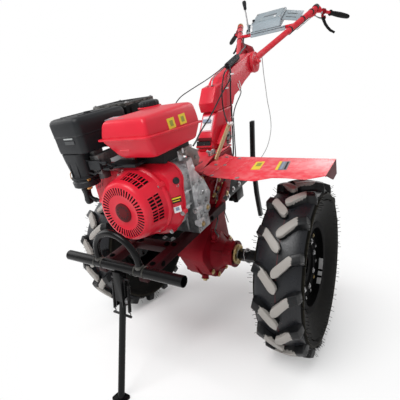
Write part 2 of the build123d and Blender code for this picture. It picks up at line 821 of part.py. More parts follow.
lever_root = Vector(*handle_bend) + grip_along * 40
with BuildPart() as lever_left:
    with BuildSketch(Plane(origin=lever_root, z_dir=grip_along)):
        with Locations((0, 0)):
            Circle(HANDLE_D / 2 + 6)
            Circle(HANDLE_D / 2 + SEAT, mode=Mode.SUBTRACT)
    extrude(amount=14)
    hang = tube(
        [lever_root + Vector(-2, -2, -26), lever_root + Vector(8, -4, -62), lever_root + Vector(40, 0, -116)],
        12,
    )
    add(hang.part)
    with Locations(lever_root + Vector(0, 0, -33)):
        Box(12, 16, 20)
with BuildPart() as hand_levers:
    add(lever_left.part)
    add(lever_left.part.mirror(Plane.YZ))
save(hand_levers, "hand_levers")

lever_x = -108.0
lever_top = (lever_x, 992, 1046)
with BuildPart() as gear_lever:
    add(tube([(lever_x, 1000, 922), (lever_x, 1004, 970), lever_top], 9).part)
    with BuildSketch(Plane(origin=lever_top, z_dir=(0, -0.16, 1))):
        Circle(11)
    extrude(amount=45)
    with Locations((lever_x, 1000, 917.8)):
        Box(22, 24, 11)
save(gear_lever, "gear_lever")

with BuildPart() as pto_cover:
    with BuildSketch(Plane.XZ.offset(-PTO_OUT_REAR)):
        with Locations((0, PTO_OUT_Z)):
            Circle(PTO_OUT_R)
    with BuildSketch(Plane.XZ.offset(-PTO_OUT_REAR - 36)):
        with Locations((0, PTO_OUT_Z)):
            Circle(24)
    loft()
save(pto_cover, "pto_cover")

# ---- control cables -------------------------------------------------------------------------
sleeve_front = Vector(23, 388, 757)
sleeve_rear = Vector(23, 508, 788.2)
sleeve_along = (sleeve_rear - sleeve_front).normalized()
sleeve_lift = Vector(1, 0, 0).cross(sleeve_along)


def at_sleeve(sideways, lift, towards, diameter):
    """Where a cable leaves the sleeve's front face; its end is square to its own first run."""
    exit_point = sleeve_front + Vector(sideways, 0, 0) + sleeve_lift * lift
    turn = radians((Vector(*towards) - exit_point).get_angle(-sleeve_along))
    return exit_point - sleeve_along * (SEAT + diameter / 2 * sin(turn))


def cable(name, points, diameter):
    """A control cable through its points; prints its length and its arcs."""
    laid = tube(points, diameter)
    radii = [round(radius) for radius in bend_radii(points)]
    length = laid.part.volume / (pi * diameter**2 / 4)
    print(name, "length", round(length), "radii", radii)
    save(laid, name)


with BuildPart() as cable_sleeve:
    with BuildSketch(Plane(origin=sleeve_front, z_dir=sleeve_along)):
        Circle(SLEEVE_D / 2)
    extrude(amount=(sleeve_rear - sleeve_front).length)
save(cable_sleeve, "cable_sleeve")

with BuildPart() as clutch_lever:
    with Locations((neck_half + 5, 8, 270)):
        Cylinder(11, 10, rotation=(0, 90, 0))
save(clutch_lever, "clutch_lever")

cable(
    "cable_throttle",
    [
        at_sleeve(9, 3, (47, 370, 751), THROTTLE_D),
        (47, 370, 751),
        (58, 341, 704),
        (58, 240, 658),
        (60, 165, 616),
        (67, 83, 580),
        (80, -23, 550),
        (98, -96, 526),
        (104.5, -128, 521),
    ],
    THROTTLE_D,
)
cable(
    "cable_choke",
    [at_sleeve(-1, 9, (16, 255, 730), CHOKE_D), (16, 255, 730), (2, 80, 698), (-2, -30, 676), (-20, -78, 600), (-40, -104, 512), (-40, -200.7, 505)],
    CHOKE_D,
)
cable("shift_rod", [at_sleeve(-8, 1, (12, 330, 741), ROD_D), (12, 330, 741), (8, 250, 718), (8, 245, 689.1)], ROD_D)
cable(
    "cable_clutch",
    [
        at_sleeve(9, -7, (42, 374, 745), CLUTCH_D),
        (42, 374, 745),
        (50, 352, 706),
        (50, 326, 630),
        (54, 308, 545),
        (66, 272, 486),
        (75, 243, 437),
        (79, 222, 381),
        (78, 180, 328),
        (75, 111, 296.5),
        (75, 18.95, 272.8),
    ],
    CLUTCH_D,
)
cable(
    "cable_selector",
    [
        at_sleeve(1, -8.5, (38, 352, 742), SELECTOR_CABLE_D),
        (38, 352, 742),
        (49, 300, 736),
        (50, 262, 690),
        (50, 241, 632),
        (53, 234, 578),
        (72, 210, 546),
        (81, 208, 518.5),
    ],
    SELECTOR_CABLE_D,
)
cable(
    "cable_brake",
    [
        (24, 492, 650.7),
        (24, 496.7, 639.8),
        (38, 476, 630),
        (49, 440, 618),
        (49, 392, 592),
        (52, 340, 560),
        (57, 312, 528),
        (68, 284, 486),
        (77, 256, 440),
        (82, 238, 385),
        (86, 222, 348),
        (83, 216, 326),
        (70.4, 216, 326),
    ],
    BRAKE_D,
)
cable(
    "cable_slack",
    [
        (66, 728, 766.8),
        (70, 718, 730),
        (70, 717, 680),
        (70, 728, 610),
        (70, 733, 535),
        (70, 756, 470),
        (70, 762, 400),
        (70, 736, 345),
        (70, 670, 290),
        (66, 585, 258),
        (56, 510, 240),
        (50, 446, 210),
        (40, 425, 200),
        (26.6, 425, 200),
    ],
    SLACK_D,
)
cable(
    "cable_crossing",
    [
        sleeve_rear + sleeve_along * (SEAT + 0.5),
        (14, 585, 812),
        (0, 660, 826),
        (-24, 740, 838),
        (-60, 810, 846),
    ],
    BUNDLE_D,
)
cable(
    "cable_riser",
    [
        Vector(-60, 810, 846) + (Vector(-60, 810, 846) - Vector(-24, 740, 838)).normalized() * SEAT,
        (-94, 876, 854),
        (-118, 930, 876),
        (-135, 985, 895),
    ],
    BUNDLE_D,
)

for place, point in {
    "wheel axle": (0, 0, 0),
    "stand pivot": (0, pivot_y, pivot_z),
    "handlebar pivot": (0, CLAMP_Y, CLAMP_Z),
    "hitch pin": (0, HITCH_PIN[0], HITCH_PIN[1]),
}.items():
    seen = PARKED * Location(point)
    print(place, [round(v, 3) for v in seen.position])
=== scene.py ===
"""Looks of a two-wheel walking tractor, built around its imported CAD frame.

Shapes are modelled in the machine frame in millimetres (origin on the axle line, +X to the machine's
left, +Y to the rear, +Z up, chassis level) and carried to the parked attitude by MACHINE.
"""
import bmesh
import bpy
import json
import random
from math import atan2, copysign, cos, degrees, exp, pi, radians, sin, sqrt
from mathutils import Matrix, Vector

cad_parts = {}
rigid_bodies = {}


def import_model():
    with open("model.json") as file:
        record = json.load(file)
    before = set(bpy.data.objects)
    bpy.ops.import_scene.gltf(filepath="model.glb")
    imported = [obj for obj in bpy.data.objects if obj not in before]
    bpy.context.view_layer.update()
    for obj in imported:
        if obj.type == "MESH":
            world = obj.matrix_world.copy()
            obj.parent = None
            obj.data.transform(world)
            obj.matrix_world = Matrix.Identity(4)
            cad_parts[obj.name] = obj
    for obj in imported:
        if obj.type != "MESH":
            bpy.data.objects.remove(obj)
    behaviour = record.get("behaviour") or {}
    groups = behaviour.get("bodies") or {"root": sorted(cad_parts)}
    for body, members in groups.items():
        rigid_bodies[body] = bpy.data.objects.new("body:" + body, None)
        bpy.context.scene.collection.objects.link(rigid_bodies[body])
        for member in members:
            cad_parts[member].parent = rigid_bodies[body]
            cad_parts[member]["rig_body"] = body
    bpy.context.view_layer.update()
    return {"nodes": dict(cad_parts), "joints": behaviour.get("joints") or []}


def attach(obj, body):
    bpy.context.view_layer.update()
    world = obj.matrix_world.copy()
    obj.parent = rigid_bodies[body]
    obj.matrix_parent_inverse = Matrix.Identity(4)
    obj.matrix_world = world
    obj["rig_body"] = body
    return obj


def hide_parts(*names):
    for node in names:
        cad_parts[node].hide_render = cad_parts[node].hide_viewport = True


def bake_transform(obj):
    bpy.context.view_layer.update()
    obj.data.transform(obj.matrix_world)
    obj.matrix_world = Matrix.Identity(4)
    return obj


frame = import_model()

MM = 0.001
NOSE_DOWN = radians(14.0)
JOINTS = {joint["name"]: joint for joint in frame["joints"]}
AXLE = JOINTS["wheel_left_spin"]["pos_m"]
MACHINE = (
    Matrix.Translation((0, AXLE[1], AXLE[2]))
    @ Matrix.Rotation(NOSE_DOWN, 4, "X")
    @ Matrix.Diagonal((MM, MM, MM, 1))
)
X, Y, Z = Vector((1, 0, 0)), Vector((0, 1, 0)), Vector((0, 0, 1))
SIDES = {"left": 1, "right": -1}

# ---- materials ------------------------------------------------------------------------------
DUST = (0.30, 0.25, 0.20)
BARE_METAL = (0.55, 0.53, 0.50)
SPECKLE = 14                   # how much finer the roughness varies than the colour
BUMP_HEIGHT = 0.0006           # metres
SOFT_WAVE = 0.02               # bump strength of a surface without grain


def add_node(tree, kind, output, inputs=(), **settings):
    """A shader node's output; each input is a number, a colour or another node's output."""
    node = tree.nodes.new("ShaderNode" + kind)
    for name, value in settings.items():
        setattr(node, name, value)
    for socket, value in dict(inputs).items():
        feed(tree, node.inputs[socket], value)
    return node.outputs[output]


def feed(tree, socket, value):
    """Give a socket another node's output, a colour or a number."""
    if isinstance(value, bpy.types.NodeSocket):
        tree.links.new(value, socket)
    else:
        socket.default_value = (*value, 1) if isinstance(value, tuple) else value


def finish(
    name, colour, shade=0.78, rough=0.4, rough_spread=0.12, metal=0.0, coat=0.0, spread_scale=9.0,
    grain=0.0, grain_scale=900.0, specular=0.4, dust_and_sheen=0.0, dust_and_sheen_colour=DUST, wear=0.0,
    wear_colour=BARE_METAL, worn_colour=None,
):
    """A surface whose colour, roughness and bump vary, with a film on top faces and wear on edges.

    A worn colour shows where the mesh's own value "worn" is high.
    """
    made = bpy.data.materials.new(name)
    made.use_nodes = True
    tree = made.node_tree
    place = add_node(tree, "TexCoord", "Object")

    def noise(scale, detail=3.0, roughness=0.55):
        inputs = {"Vector": place, "Scale": scale, "Detail": detail, "Roughness": roughness}
        return add_node(tree, "TexNoise", "Fac", inputs)

    def spread(value, low, high, to_low=0.0, to_high=1.0):
        inputs = {"Value": value, "From Min": low, "From Max": high, "To Min": to_low, "To Max": to_high}
        return add_node(tree, "MapRange", "Result", inputs)

    def combined(operation, first, second):
        return add_node(tree, "Math", "Value", {0: first, 1: second}, operation=operation)

    def mixed(factor, first, second):
        return add_node(tree, "Mix", 2, {"Factor": factor, 6: first, 7: second}, data_type="RGBA")

    darker = tuple(part * shade for part in colour)
    surface = mixed(spread(noise(spread_scale), 0.3, 0.7), darker, colour)
    if worn_colour:
        worn = add_node(tree, "Attribute", "Fac", attribute_name="worn")
        ragged = combined("ADD", worn, spread(noise(70.0, 4.0, 0.7), 0.2, 0.8, -0.28, 0.28))
        surface = mixed(spread(ragged, 0.45, 0.55), surface, worn_colour)
    if wear:
        edges = spread(add_node(tree, "NewGeometry", "Pointiness"), 0.52, 0.60)
        rubbed = combined("MULTIPLY", edges, spread(noise(38.0, 4.0), 0.42, 0.62))
        surface = mixed(combined("MULTIPLY", rubbed, wear), surface, wear_colour)
    # Film on upward faces: settled dirt on most finishes, a painted blue-grey sheen on the tyre's tread and
    # lugs, and a painted pink highlight on the fender red.
    if dust_and_sheen:
        upward = add_node(tree, "SeparateXYZ", "Z", {"Vector": add_node(tree, "NewGeometry", "Normal")})
        film = combined("MULTIPLY", spread(noise(16.0, 5.0, 0.65), 0.36, 0.72),
                        spread(upward, -0.6, 1.0, 0.25, 1.0))
        surface = mixed(combined("MULTIPLY", film, dust_and_sheen), surface, dust_and_sheen_colour)
    half_spread = rough_spread / 2
    height = noise(grain_scale, 4.0, 0.6) if grain else noise(25.0, 1.0, 0.6)
    bump = {"Strength": grain or SOFT_WAVE, "Distance": BUMP_HEIGHT, "Height": height}
    looks = {
        "Base Color": surface,
        "Roughness": spread(noise(spread_scale * SPECKLE, 2.0), 0.25, 0.75, rough - half_spread,
                            rough + half_spread),
        "Metallic": metal, "Coat Weight": coat, "Coat Roughness": 0.08, "Specular IOR Level": specular,
        "Normal": add_node(tree, "Bump", "Normal", bump),
    }
    for socket, value in looks.items():
        feed(tree, tree.nodes["Principled BSDF"].inputs[socket], value)
    return made


RED = finish("red_paint", (0.66, 0.014, 0.034), 0.90, 0.32, 0.03, coat=0.10, specular=0.25, wear=0.10,
             wear_colour=(0.80, 0.30, 0.30))
# Its pink film on upward faces is a painted highlight.
FENDER_RED = finish("fender_red", (0.80, 0.026, 0.048), 0.92, 0.34, 0.06, coat=0.1, specular=0.35,
                    wear=0.25, dust_and_sheen=0.03, wear_colour=(0.88, 0.45, 0.45), dust_and_sheen_colour=(0.80, 0.36, 0.36))
# Dark red: painted shade on the fenders' end lips and in the column's recess; the recoil's centre cap is
# this colour too.
DEEP_RED = finish("recess_red", (0.11, 0.004, 0.007), 0.7, 0.5, 0.1, specular=0.15)
CAST_RED = finish("casting_red", (0.25, 0.004, 0.012), 0.6, 0.46, 0.18, specular=0.12, grain=0.4,
                  grain_scale=420.0, dust_and_sheen=0.05, wear=0.1, dust_and_sheen_colour=(0.08, 0.015, 0.015),
                  wear_colour=(0.40, 0.05, 0.05))
# Near-black copy of the frame's red paint: painted shade on the frame under the engine.
SHADED_FRAME_RED = finish("frame_red_painted_shade", (0.032, 0.002, 0.004), 0.5, 0.45, 0.18, specular=0.14, grain=0.3, dust_and_sheen=0.05,
                   grain_scale=420.0, dust_and_sheen_colour=(0.03, 0.015, 0.012))
BLACK = finish("black_paint", (0.0035, 0.0035, 0.004), 0.6, 0.24, 0.06, specular=0.18, wear=0.05,
               wear_colour=(0.08, 0.07, 0.06))
RIM_BLACK = finish("rim_black", (0.002, 0.002, 0.0022), 0.6, 0.62, 0.10, specular=0.03)
SATIN_BLACK = finish("black_plastic", (0.013, 0.0145, 0.017), 0.8, 0.44, 0.1, specular=0.26, grain=0.15,
                     grain_scale=1600.0, dust_and_sheen=0.04, dust_and_sheen_colour=(0.06, 0.06, 0.06))
OLIVE_BLACK = finish("olive_black", (0.014, 0.014, 0.011), 0.6, 0.38, 0.15, specular=0.25, wear=0.3,
                     dust_and_sheen=0.12, dust_and_sheen_colour=(0.06, 0.055, 0.035))
BAR_RED = finish("bar_red", (0.34, 0.006, 0.016), 0.7, 0.6, 0.1, specular=0.05)
# Near black: painted shade in slots, louvres, recesses, gaps and under the tank; also the dark print on
# labels and stickers.
DARK = finish("shade_and_print_black", (0.006, 0.006, 0.007), 0.6, 0.75, 0.1)
ALUMINIUM = finish("cast_aluminium", (0.50, 0.51, 0.525), 0.74, 0.42, 0.2, metal=0.35, grain=0.5,
                   grain_scale=520.0, dust_and_sheen=0.12, dust_and_sheen_colour=(0.14, 0.13, 0.12), wear=0.6,
                   wear_colour=(0.80, 0.80, 0.80))
DARK_METAL = finish("dark_metal", (0.06, 0.06, 0.062), 0.6, 0.45, 0.2, metal=0.4, dust_and_sheen=0.2,
                    dust_and_sheen_colour=(0.12, 0.11, 0.10), wear=0.4)
BRACKET_GREY = finish("bracket_grey", (0.20, 0.185, 0.175), 0.7, 0.5, 0.2, metal=0.3, dust_and_sheen=0.3, wear=0.4)
STEEL = finish("bright_steel", (0.55, 0.55, 0.56), 0.75, 0.30, 0.16, metal=0.9, wear=0.2, dust_and_sheen=0.12)
ZINC = finish("yellow_zinc", (0.58, 0.42, 0.17), 0.7, 0.36, 0.16, metal=0.75, wear=0.4, dust_and_sheen=0.15,
              wear_colour=(0.8, 0.75, 0.6))
ARM_GOLD = finish("arm_gold", (0.52, 0.38, 0.19), 0.8, 0.40, 0.14, metal=0.25, dust_and_sheen=0.1, wear=0.2,
                  wear_colour=(0.75, 0.65, 0.45))
BRASS = finish("brass", (0.55, 0.28, 0.08), 0.7, 0.35, 0.15, metal=0.7)
GREY = finish("grey_plastic", (0.29, 0.345, 0.38), 0.86, 0.42, 0.1, specular=0.25, grain=0.15,
              grain_scale=1400.0, dust_and_sheen=0.08, dust_and_sheen_colour=(0.25, 0.25, 0.24), wear=0.15)
# Darker copy of the panel grey: painted shade on the panel's left end face and in its slot.
GREY_SHADE = finish("grey_painted_shade", (0.15, 0.18, 0.20), 0.8, 0.5, 0.1)
RUBBER = finish("soft_rubber", (0.006, 0.006, 0.006), 0.7, 0.50, 0.15, specular=0.2, grain=0.3)
CABLE_BLACK = finish("cable_black", (0.016, 0.016, 0.019), 0.7, 0.40, 0.12, specular=0.25)
CABLE_GREY = finish("cable_grey", (0.40, 0.42, 0.42), 0.8, 0.45, 0.12)
# The blue-grey film on the upward faces of the tread and the lugs is a painted sheen.
TREAD = finish("tyre_tread", (0.009, 0.010, 0.013), 0.5, 0.34, 0.20, specular=0.35, grain=0.3, dust_and_sheen=0.05,
               grain_scale=700.0, dust_and_sheen_colour=(0.045, 0.050, 0.062), spread_scale=14.0)
LUG = finish("tyre_lug", (0.006, 0.0065, 0.0075), 0.5, 0.36, 0.20, specular=0.28, grain=0.4,
             grain_scale=600.0, dust_and_sheen=0.05, dust_and_sheen_colour=(0.04, 0.042, 0.046),
             worn_colour=(0.30, 0.282, 0.262))
WALL = finish("tyre_wall", (0.0028, 0.0028, 0.0024), 0.5, 0.6, 0.15, specular=0.05, grain=0.4,
              grain_scale=500.0, dust_and_sheen=0.3, dust_and_sheen_colour=(0.016, 0.013, 0.008), spread_scale=16.0)
RIDGE = finish("tyre_ridge", (0.018, 0.016, 0.010), 0.4, 0.6, 0.1, specular=0.08, spread_scale=30.0)
TREAD_LINE = finish("tread_line", (0.13, 0.010, 0.018), 0.3, 0.6, 0.1, spread_scale=60.0)
YELLOW = finish("sticker_yellow", (0.80, 0.60, 0.02), 0.9, 0.4, 0.08)
WHITE = finish("sticker_white", (0.80, 0.80, 0.80), 0.93, 0.42, 0.08)
STICKER_GREY = finish("sticker_grey", (0.20, 0.20, 0.22), 0.8, 0.45, 0.08)
STICKER_BLUE = finish("sticker_blue", (0.24, 0.30, 0.40), 0.85, 0.42, 0.08)
STICKER_PINK = finish("sticker_pink", (0.70, 0.24, 0.28), 0.9, 0.42, 0.08)
STICKER_OLIVE = finish("sticker_olive", (0.30, 0.30, 0.03), 0.85, 0.42, 0.08)
STICKER_RED = finish("sticker_red", (0.80, 0.08, 0.10), 0.9, 0.42, 0.08)
MARK_GREY = finish("mark_grey", (0.06, 0.063, 0.066), 0.8, 0.5, 0.08)
HANDLE_RED = finish("handle_red", (0.62, 0.012, 0.028), 0.88, 0.30, 0.05, coat=0.12, specular=0.25,
                    wear=0.2, wear_colour=(0.75, 0.30, 0.30))

# ---- shapes ---------------------------------------------------------------------------------
LEVEL = Matrix.Identity(3)


def turned(axis, angle):
    """A turn about an axis, in degrees."""
    return Matrix.Rotation(radians(angle), 3, axis)


def around_axle(angle):
    """Direction square to the axle, in degrees from straight back, going up."""
    return Vector((0, cos(radians(angle)), sin(radians(angle))))


def around_crank(angle):
    """Direction square to the crankshaft, in degrees from the machine's left, going up."""
    return Vector((cos(radians(angle)), 0, sin(radians(angle))))


def square_to(direction):
    """Two unit vectors square to a direction and to each other."""
    direction = Vector(direction).normalized()
    helper = Z if abs(direction.z) < 0.9 else Y
    across = helper.cross(direction).normalized()
    return across, direction.cross(across)


def circle(middle, across, up, radius, steps):
    """Points of a circle, going round once."""
    turns = [2 * pi * i / steps for i in range(steps)]
    return [middle + (across * cos(turn) + up * sin(turn)) * radius for turn in turns]


def skin(bm, rings, caps=True, material=0):
    """Faces between closed rings of equal length; returns them band by band, in ring order."""
    made = [[bm.verts.new(point) for point in ring] for ring in rings]
    bands = []
    for low, high in zip(made, made[1:]):
        quads = zip(low, low[1:] + low[:1], high[1:] + high[:1], high)
        bands.append([bm.faces.new(quad) for quad in quads])
    ends = [bm.faces.new(made[0][::-1]), bm.faces.new(made[-1])] if caps else []
    for faces in (ends, *bands):
        for face in faces:
            face.material_index = material
    return bands


def lathe(bm, profile, centre, axis, steps=48, material=0, caps=False):
    """A profile of (along, radius) turned about an axis through a centre."""
    axis = Vector(axis).normalized()
    across, up = square_to(axis)
    rings = [circle(Vector(centre) + axis * along, across, up, radius, steps) for along, radius in profile]
    return skin(bm, rings, caps, material)


def rod(bm, start, end, radius, sides=16, end_radius=None, material=0):
    """A round bar or a cone between two points."""
    way = Vector(end) - Vector(start)
    far = radius if end_radius is None else end_radius
    lathe(bm, [(0, radius), (way.length, far)], start, way, sides, material, caps=True)


def pipe(bm, points, radius, sides=12, material=0):
    """A tube along a line of points; radius may be a list with one value a point."""
    points = [Vector(point) for point in points]
    radii = radius if isinstance(radius, list) else [radius] * len(points)
    across, _ = square_to(points[1] - points[0])
    rings = []
    for i, point in enumerate(points):
        ahead = (points[min(i + 1, len(points) - 1)] - points[max(i - 1, 0)]).normalized()
        across = (across - ahead * across.dot(ahead)).normalized()
        rings.append(circle(point, across, ahead.cross(across), radii[i], sides))
    skin(bm, rings, material=material)


def prism(bm, outline, low, high, axis):
    """An outline pushed from low to high along an axis; its corners are in the other two, in order."""
    place = {
        "x": lambda point, at: (at, point[0], point[1]),
        "y": lambda point, at: (point[0], at, point[1]),
        "z": lambda point, at: (point[0], point[1], at),
    }[axis]
    skin(bm, [[place(point, low) for point in outline], [place(point, high) for point in outline]])


def block(bm, centre, size, turn=LEVEL, material=0):
    """A box; turn is a rotation matrix about its centre."""
    half = Vector(size) / 2
    rings = []
    for level in (-half.z, half.z):
        corners = ((-half.x, -half.y), (half.x, -half.y), (half.x, half.y), (-half.x, half.y))
        rings.append([Vector(centre) + turn @ Vector((x, y, level)) for x, y in corners])
    skin(bm, rings, material=material)


def bolt(bm, at, normal, across=10.0, height=None, washer=True, material=0):
    """A hexagon head on a washer, standing on a surface."""
    at, normal = Vector(at), Vector(normal).normalized()
    height = height or across * 0.6
    base = at - normal
    if washer:
        rod(bm, base, at + normal * 1.2, across * 0.95, 18, material=material)
    profile = [(0, across * 0.57), (height * 0.8, across * 0.57), (height, across * 0.45)]
    lathe(bm, profile, base, normal, 6, material, caps=True)


def soften(bm, width, segments=2, angle=30.0):
    """Round the edges that turn by more than an angle."""
    bmesh.ops.remove_doubles(bm, verts=bm.verts, dist=0.01)
    bmesh.ops.recalc_face_normals(bm, faces=bm.faces)
    edges = [
        edge for edge in bm.edges
        if len(edge.link_faces) == 2 and edge.calc_face_angle(0) > radians(angle)
    ]
    bmesh.ops.bevel(bm, geom=edges, offset=width, segments=segments, profile=0.5, affect="EDGES",
                    clamp_overlap=True)


def inset(bm, faces, push, material):
    """Sink a patch of faces by what push gives for each point, and colour its floor and walls."""
    made = bmesh.ops.extrude_face_region(bm, geom=faces)
    for vert in [item for item in made["geom"] if isinstance(item, bmesh.types.BMVert)]:
        vert.co += push(vert.co)
        for face in vert.link_faces:
            face.material_index = material
    bmesh.ops.delete(bm, geom=[face for face in faces if face.is_valid], context="FACES")


def from_cad(node):
    """A CAD node's shape as a mesh that can be worked on, back in the machine frame."""
    bm = bmesh.new()
    bm.from_mesh(frame["nodes"][node].data)
    bm.transform(MACHINE.inverted())
    bmesh.ops.remove_doubles(bm, verts=bm.verts, dist=0.02)
    for face in bm.faces:
        face.material_index = 0
    bmesh.ops.dissolve_limit(bm, angle_limit=radians(0.6), verts=bm.verts, edges=bm.edges)
    return bm


def add_object(name, data):
    """A new object in the scene."""
    made = bpy.data.objects.new(name, data)
    bpy.context.scene.collection.objects.link(made)
    return made


def piece(name, bm, materials, replaces=(), body="chassis", smooth=32.0, placed=MACHINE):
    """Turn a shape into a finished piece that rides on a body."""
    bmesh.ops.recalc_face_normals(bm, faces=bm.faces)
    bm.transform(placed)
    mesh = bpy.data.meshes.new(name)
    bm.to_mesh(mesh)
    bm.free()
    for material in materials if isinstance(materials, (list, tuple)) else [materials]:
        mesh.materials.append(material)
    mesh.shade_smooth()
    mesh.set_sharp_from_angle(angle=radians(smooth))
    made = add_object(name, mesh)
    if body:
        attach(made, body)
    if replaces:
        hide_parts(*([replaces] if isinstance(replaces, str) else replaces))
    return made


def softened(node, width, material, segments=3, angle=30.0):
    """A CAD node's own shape with its edges rounded."""
    bm = from_cad(node)
    soften(bm, width, segments, angle)
    piece(node + "_skin", bm, material, node, body=frame["nodes"][node]["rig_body"])


def wear_cad(node, *materials):
    """Give a CAD node that keeps its own shape a finished material."""
    data = frame["nodes"][node].data
    data.materials.clear()
    for material in materials:
        data.materials.append(material)


def rounded_rect(centre_x, centre_y, width, depth, radius, z, steps=6):
    """Corner points of a rounded rectangle at a height, going round once."""
    radius = min(radius, width / 2 - 0.5, depth / 2 - 0.5)
    points = []
    for corner, (sx, sy) in enumerate(((1, 1), (-1, 1), (-1, -1), (1, -1))):
        middle_x = centre_x + sx * (width / 2 - radius)
        middle_y = centre_y + sy * (depth / 2 - radius)
        for i in range(steps + 1):
            turn = pi / 2 * (corner + i / steps)
            points.append(Vector((middle_x + radius * cos(turn), middle_y + radius * sin(turn), z)))
    return points

# ---- wheels ---------------------------------------------------------------------------------
WHEEL_X = 418.5
TYRE_R = 330.0
TYRE_STEPS = 144
LUGS = 16                      # on each half of a tyre
LUG_RUN = 87.0                 # length of a lug along the axle
LUG_WIDTH = 36.0
LUG_ACROSS = (-1.0, -0.93, -0.72, -0.30, 0.30, 0.72, 0.93, 1.0)
LUG_ALONG = (0.0, 1.2, 3.5, 7.0, 12.0, 18.0, 28.0, 38.0, 48.0, 56.0, 66.0, 74.0, 80.0, 84.0, LUG_RUN)
LUG_OVERLAP = 7.0              # how far a lug reaches past the tyre's middle
LUG_SHOULDER = 80.0            # where a lug's end starts to fall away
LUG_FOOT = 294.0               # radius of a lug's foot, inside the carcass
NOSE_ROUND = 13.0              # how far back a lug's rounded nose reaches
LUG_START = (-0.067, -0.112)   # turn of the first lug on the outer and the inner half, in radians
RIM_HALF = 50.0
CARCASS = [                    # (distance from the tyre's middle, radius) from bead to crown
    (RIM_HALF - 5, 155), (RIM_HALF - 2, 166), (RIM_HALF - 2, 173), (51, 182), (55, 192), (60, 204),
    (66, 220), (72, 236), (75, 246), (77.5, 254), (79.5, 262), (80.5, 270), (80.5, 275), (83, 278),
    (83.2, 281), (80, 284), (75, 289), (67, 293.5), (54, 298), (35, 301.5), (12, 303), (1.1, 303.2),
]
WALL_POINTS = 16               # points of the outline above that are sidewall
RIDGE_BANDS = (12, 13, 14)     # bands of it that stand out as the shoulder's ridge
INSIDE = [(RIM_HALF - 5, 155), (RIM_HALF - 14, 160), (RIM_HALF - 6, 190), (56, 230), (56, 272), (0, 282)]
STICKER_GAPS = (3, 6)          # pieces that are missing from the rim's sticker
WHISKERS = 96                  # places for moulding whiskers round each sidewall


def lug_rise(run):
    """How far round the tyre a lug has climbed at a distance along the axle."""
    knee = 50.0
    return min(run, knee) * 1.12 + max(run - knee, 0.0) * 0.42


def lug_top(x):
    """Radius of a lug's top, lower towards the shoulder."""
    return TYRE_R - 0.4 - 11.0 * (abs(x) / 79.0) ** 2.6


def lug_ring(run, side, start):
    """Corner points of a lug's section at a distance from its inner end."""
    slope = atan2(lug_rise(run + 1) - lug_rise(max(run - 1, 0)), 2.0)
    bulge = 1.0 + 0.10 * exp(-((run - 14) / 12) ** 2)
    nose = min(run, NOSE_ROUND) / NOSE_ROUND
    half = LUG_WIDTH / 2 * bulge * (0.30 + 0.70 * sqrt(1 - (1 - nose) ** 2))
    flare = 5.0 * (0.35 + 0.65 * nose)
    fall = max(run - LUG_SHOULDER, 0.0) / (LUG_RUN - LUG_SHOULDER)
    foot = LUG_FOOT - 8 * fall - 14 * max(run - 66, 0) / 26
    top = lug_top(run - LUG_OVERLAP) - 26.0 * fall
    ring = []
    for across in LUG_ACROSS:
        edge = abs(across) == 1.0
        offset = across * half + (copysign(flare, across) if edge else 0.0)
        radius = foot if edge else top - (1.6 if abs(across) == 0.93 else 0.0)
        x = min(run - LUG_OVERLAP - offset * sin(slope) * 0.55, 80.0) + (1.5 * (1 - nose) if edge else 0.0)
        angle = start - (lug_rise(run) + offset * cos(slope)) / TYRE_R
        ring.append((side * x, radius * cos(angle), radius * sin(angle)))
    return ring


def add_lug(bm, worn, side, start):
    """One tread bar: from the crown out to the shoulder on one side, worn on its top."""
    made = [[bm.verts.new(point) for point in lug_ring(run, side, start)] for run in LUG_ALONG]
    for run, ring in zip(LUG_ALONG, made):
        for across, vert in zip(LUG_ACROSS, ring):
            vert[worn] = -0.6 if abs(across) == 1.0 else 1.05 - max(run - 40.0, 0.0) / 26.0
    for low, high in zip(made, made[1:]):
        for i in range(len(LUG_ACROSS) - 1):
            bm.faces.new((low[i], low[i + 1], high[i + 1], high[i]))
    bm.faces.new(made[0])
    bm.faces.new(made[-1][::-1])


def mirrored(half):
    """A profile from one side to the other, from the half that leads to the middle."""
    return [(-x, r) for x, r in half] + [(x, r) for x, r in reversed(half) if x]


def add_whisker(bm, root, out, length, bend, radius, material=0):
    """A thin rubber thread left by the mould."""
    tip = root + out * length
    pipe(bm, [root, (root + tip) / 2 + bend, tip], radius, 4, material=material)


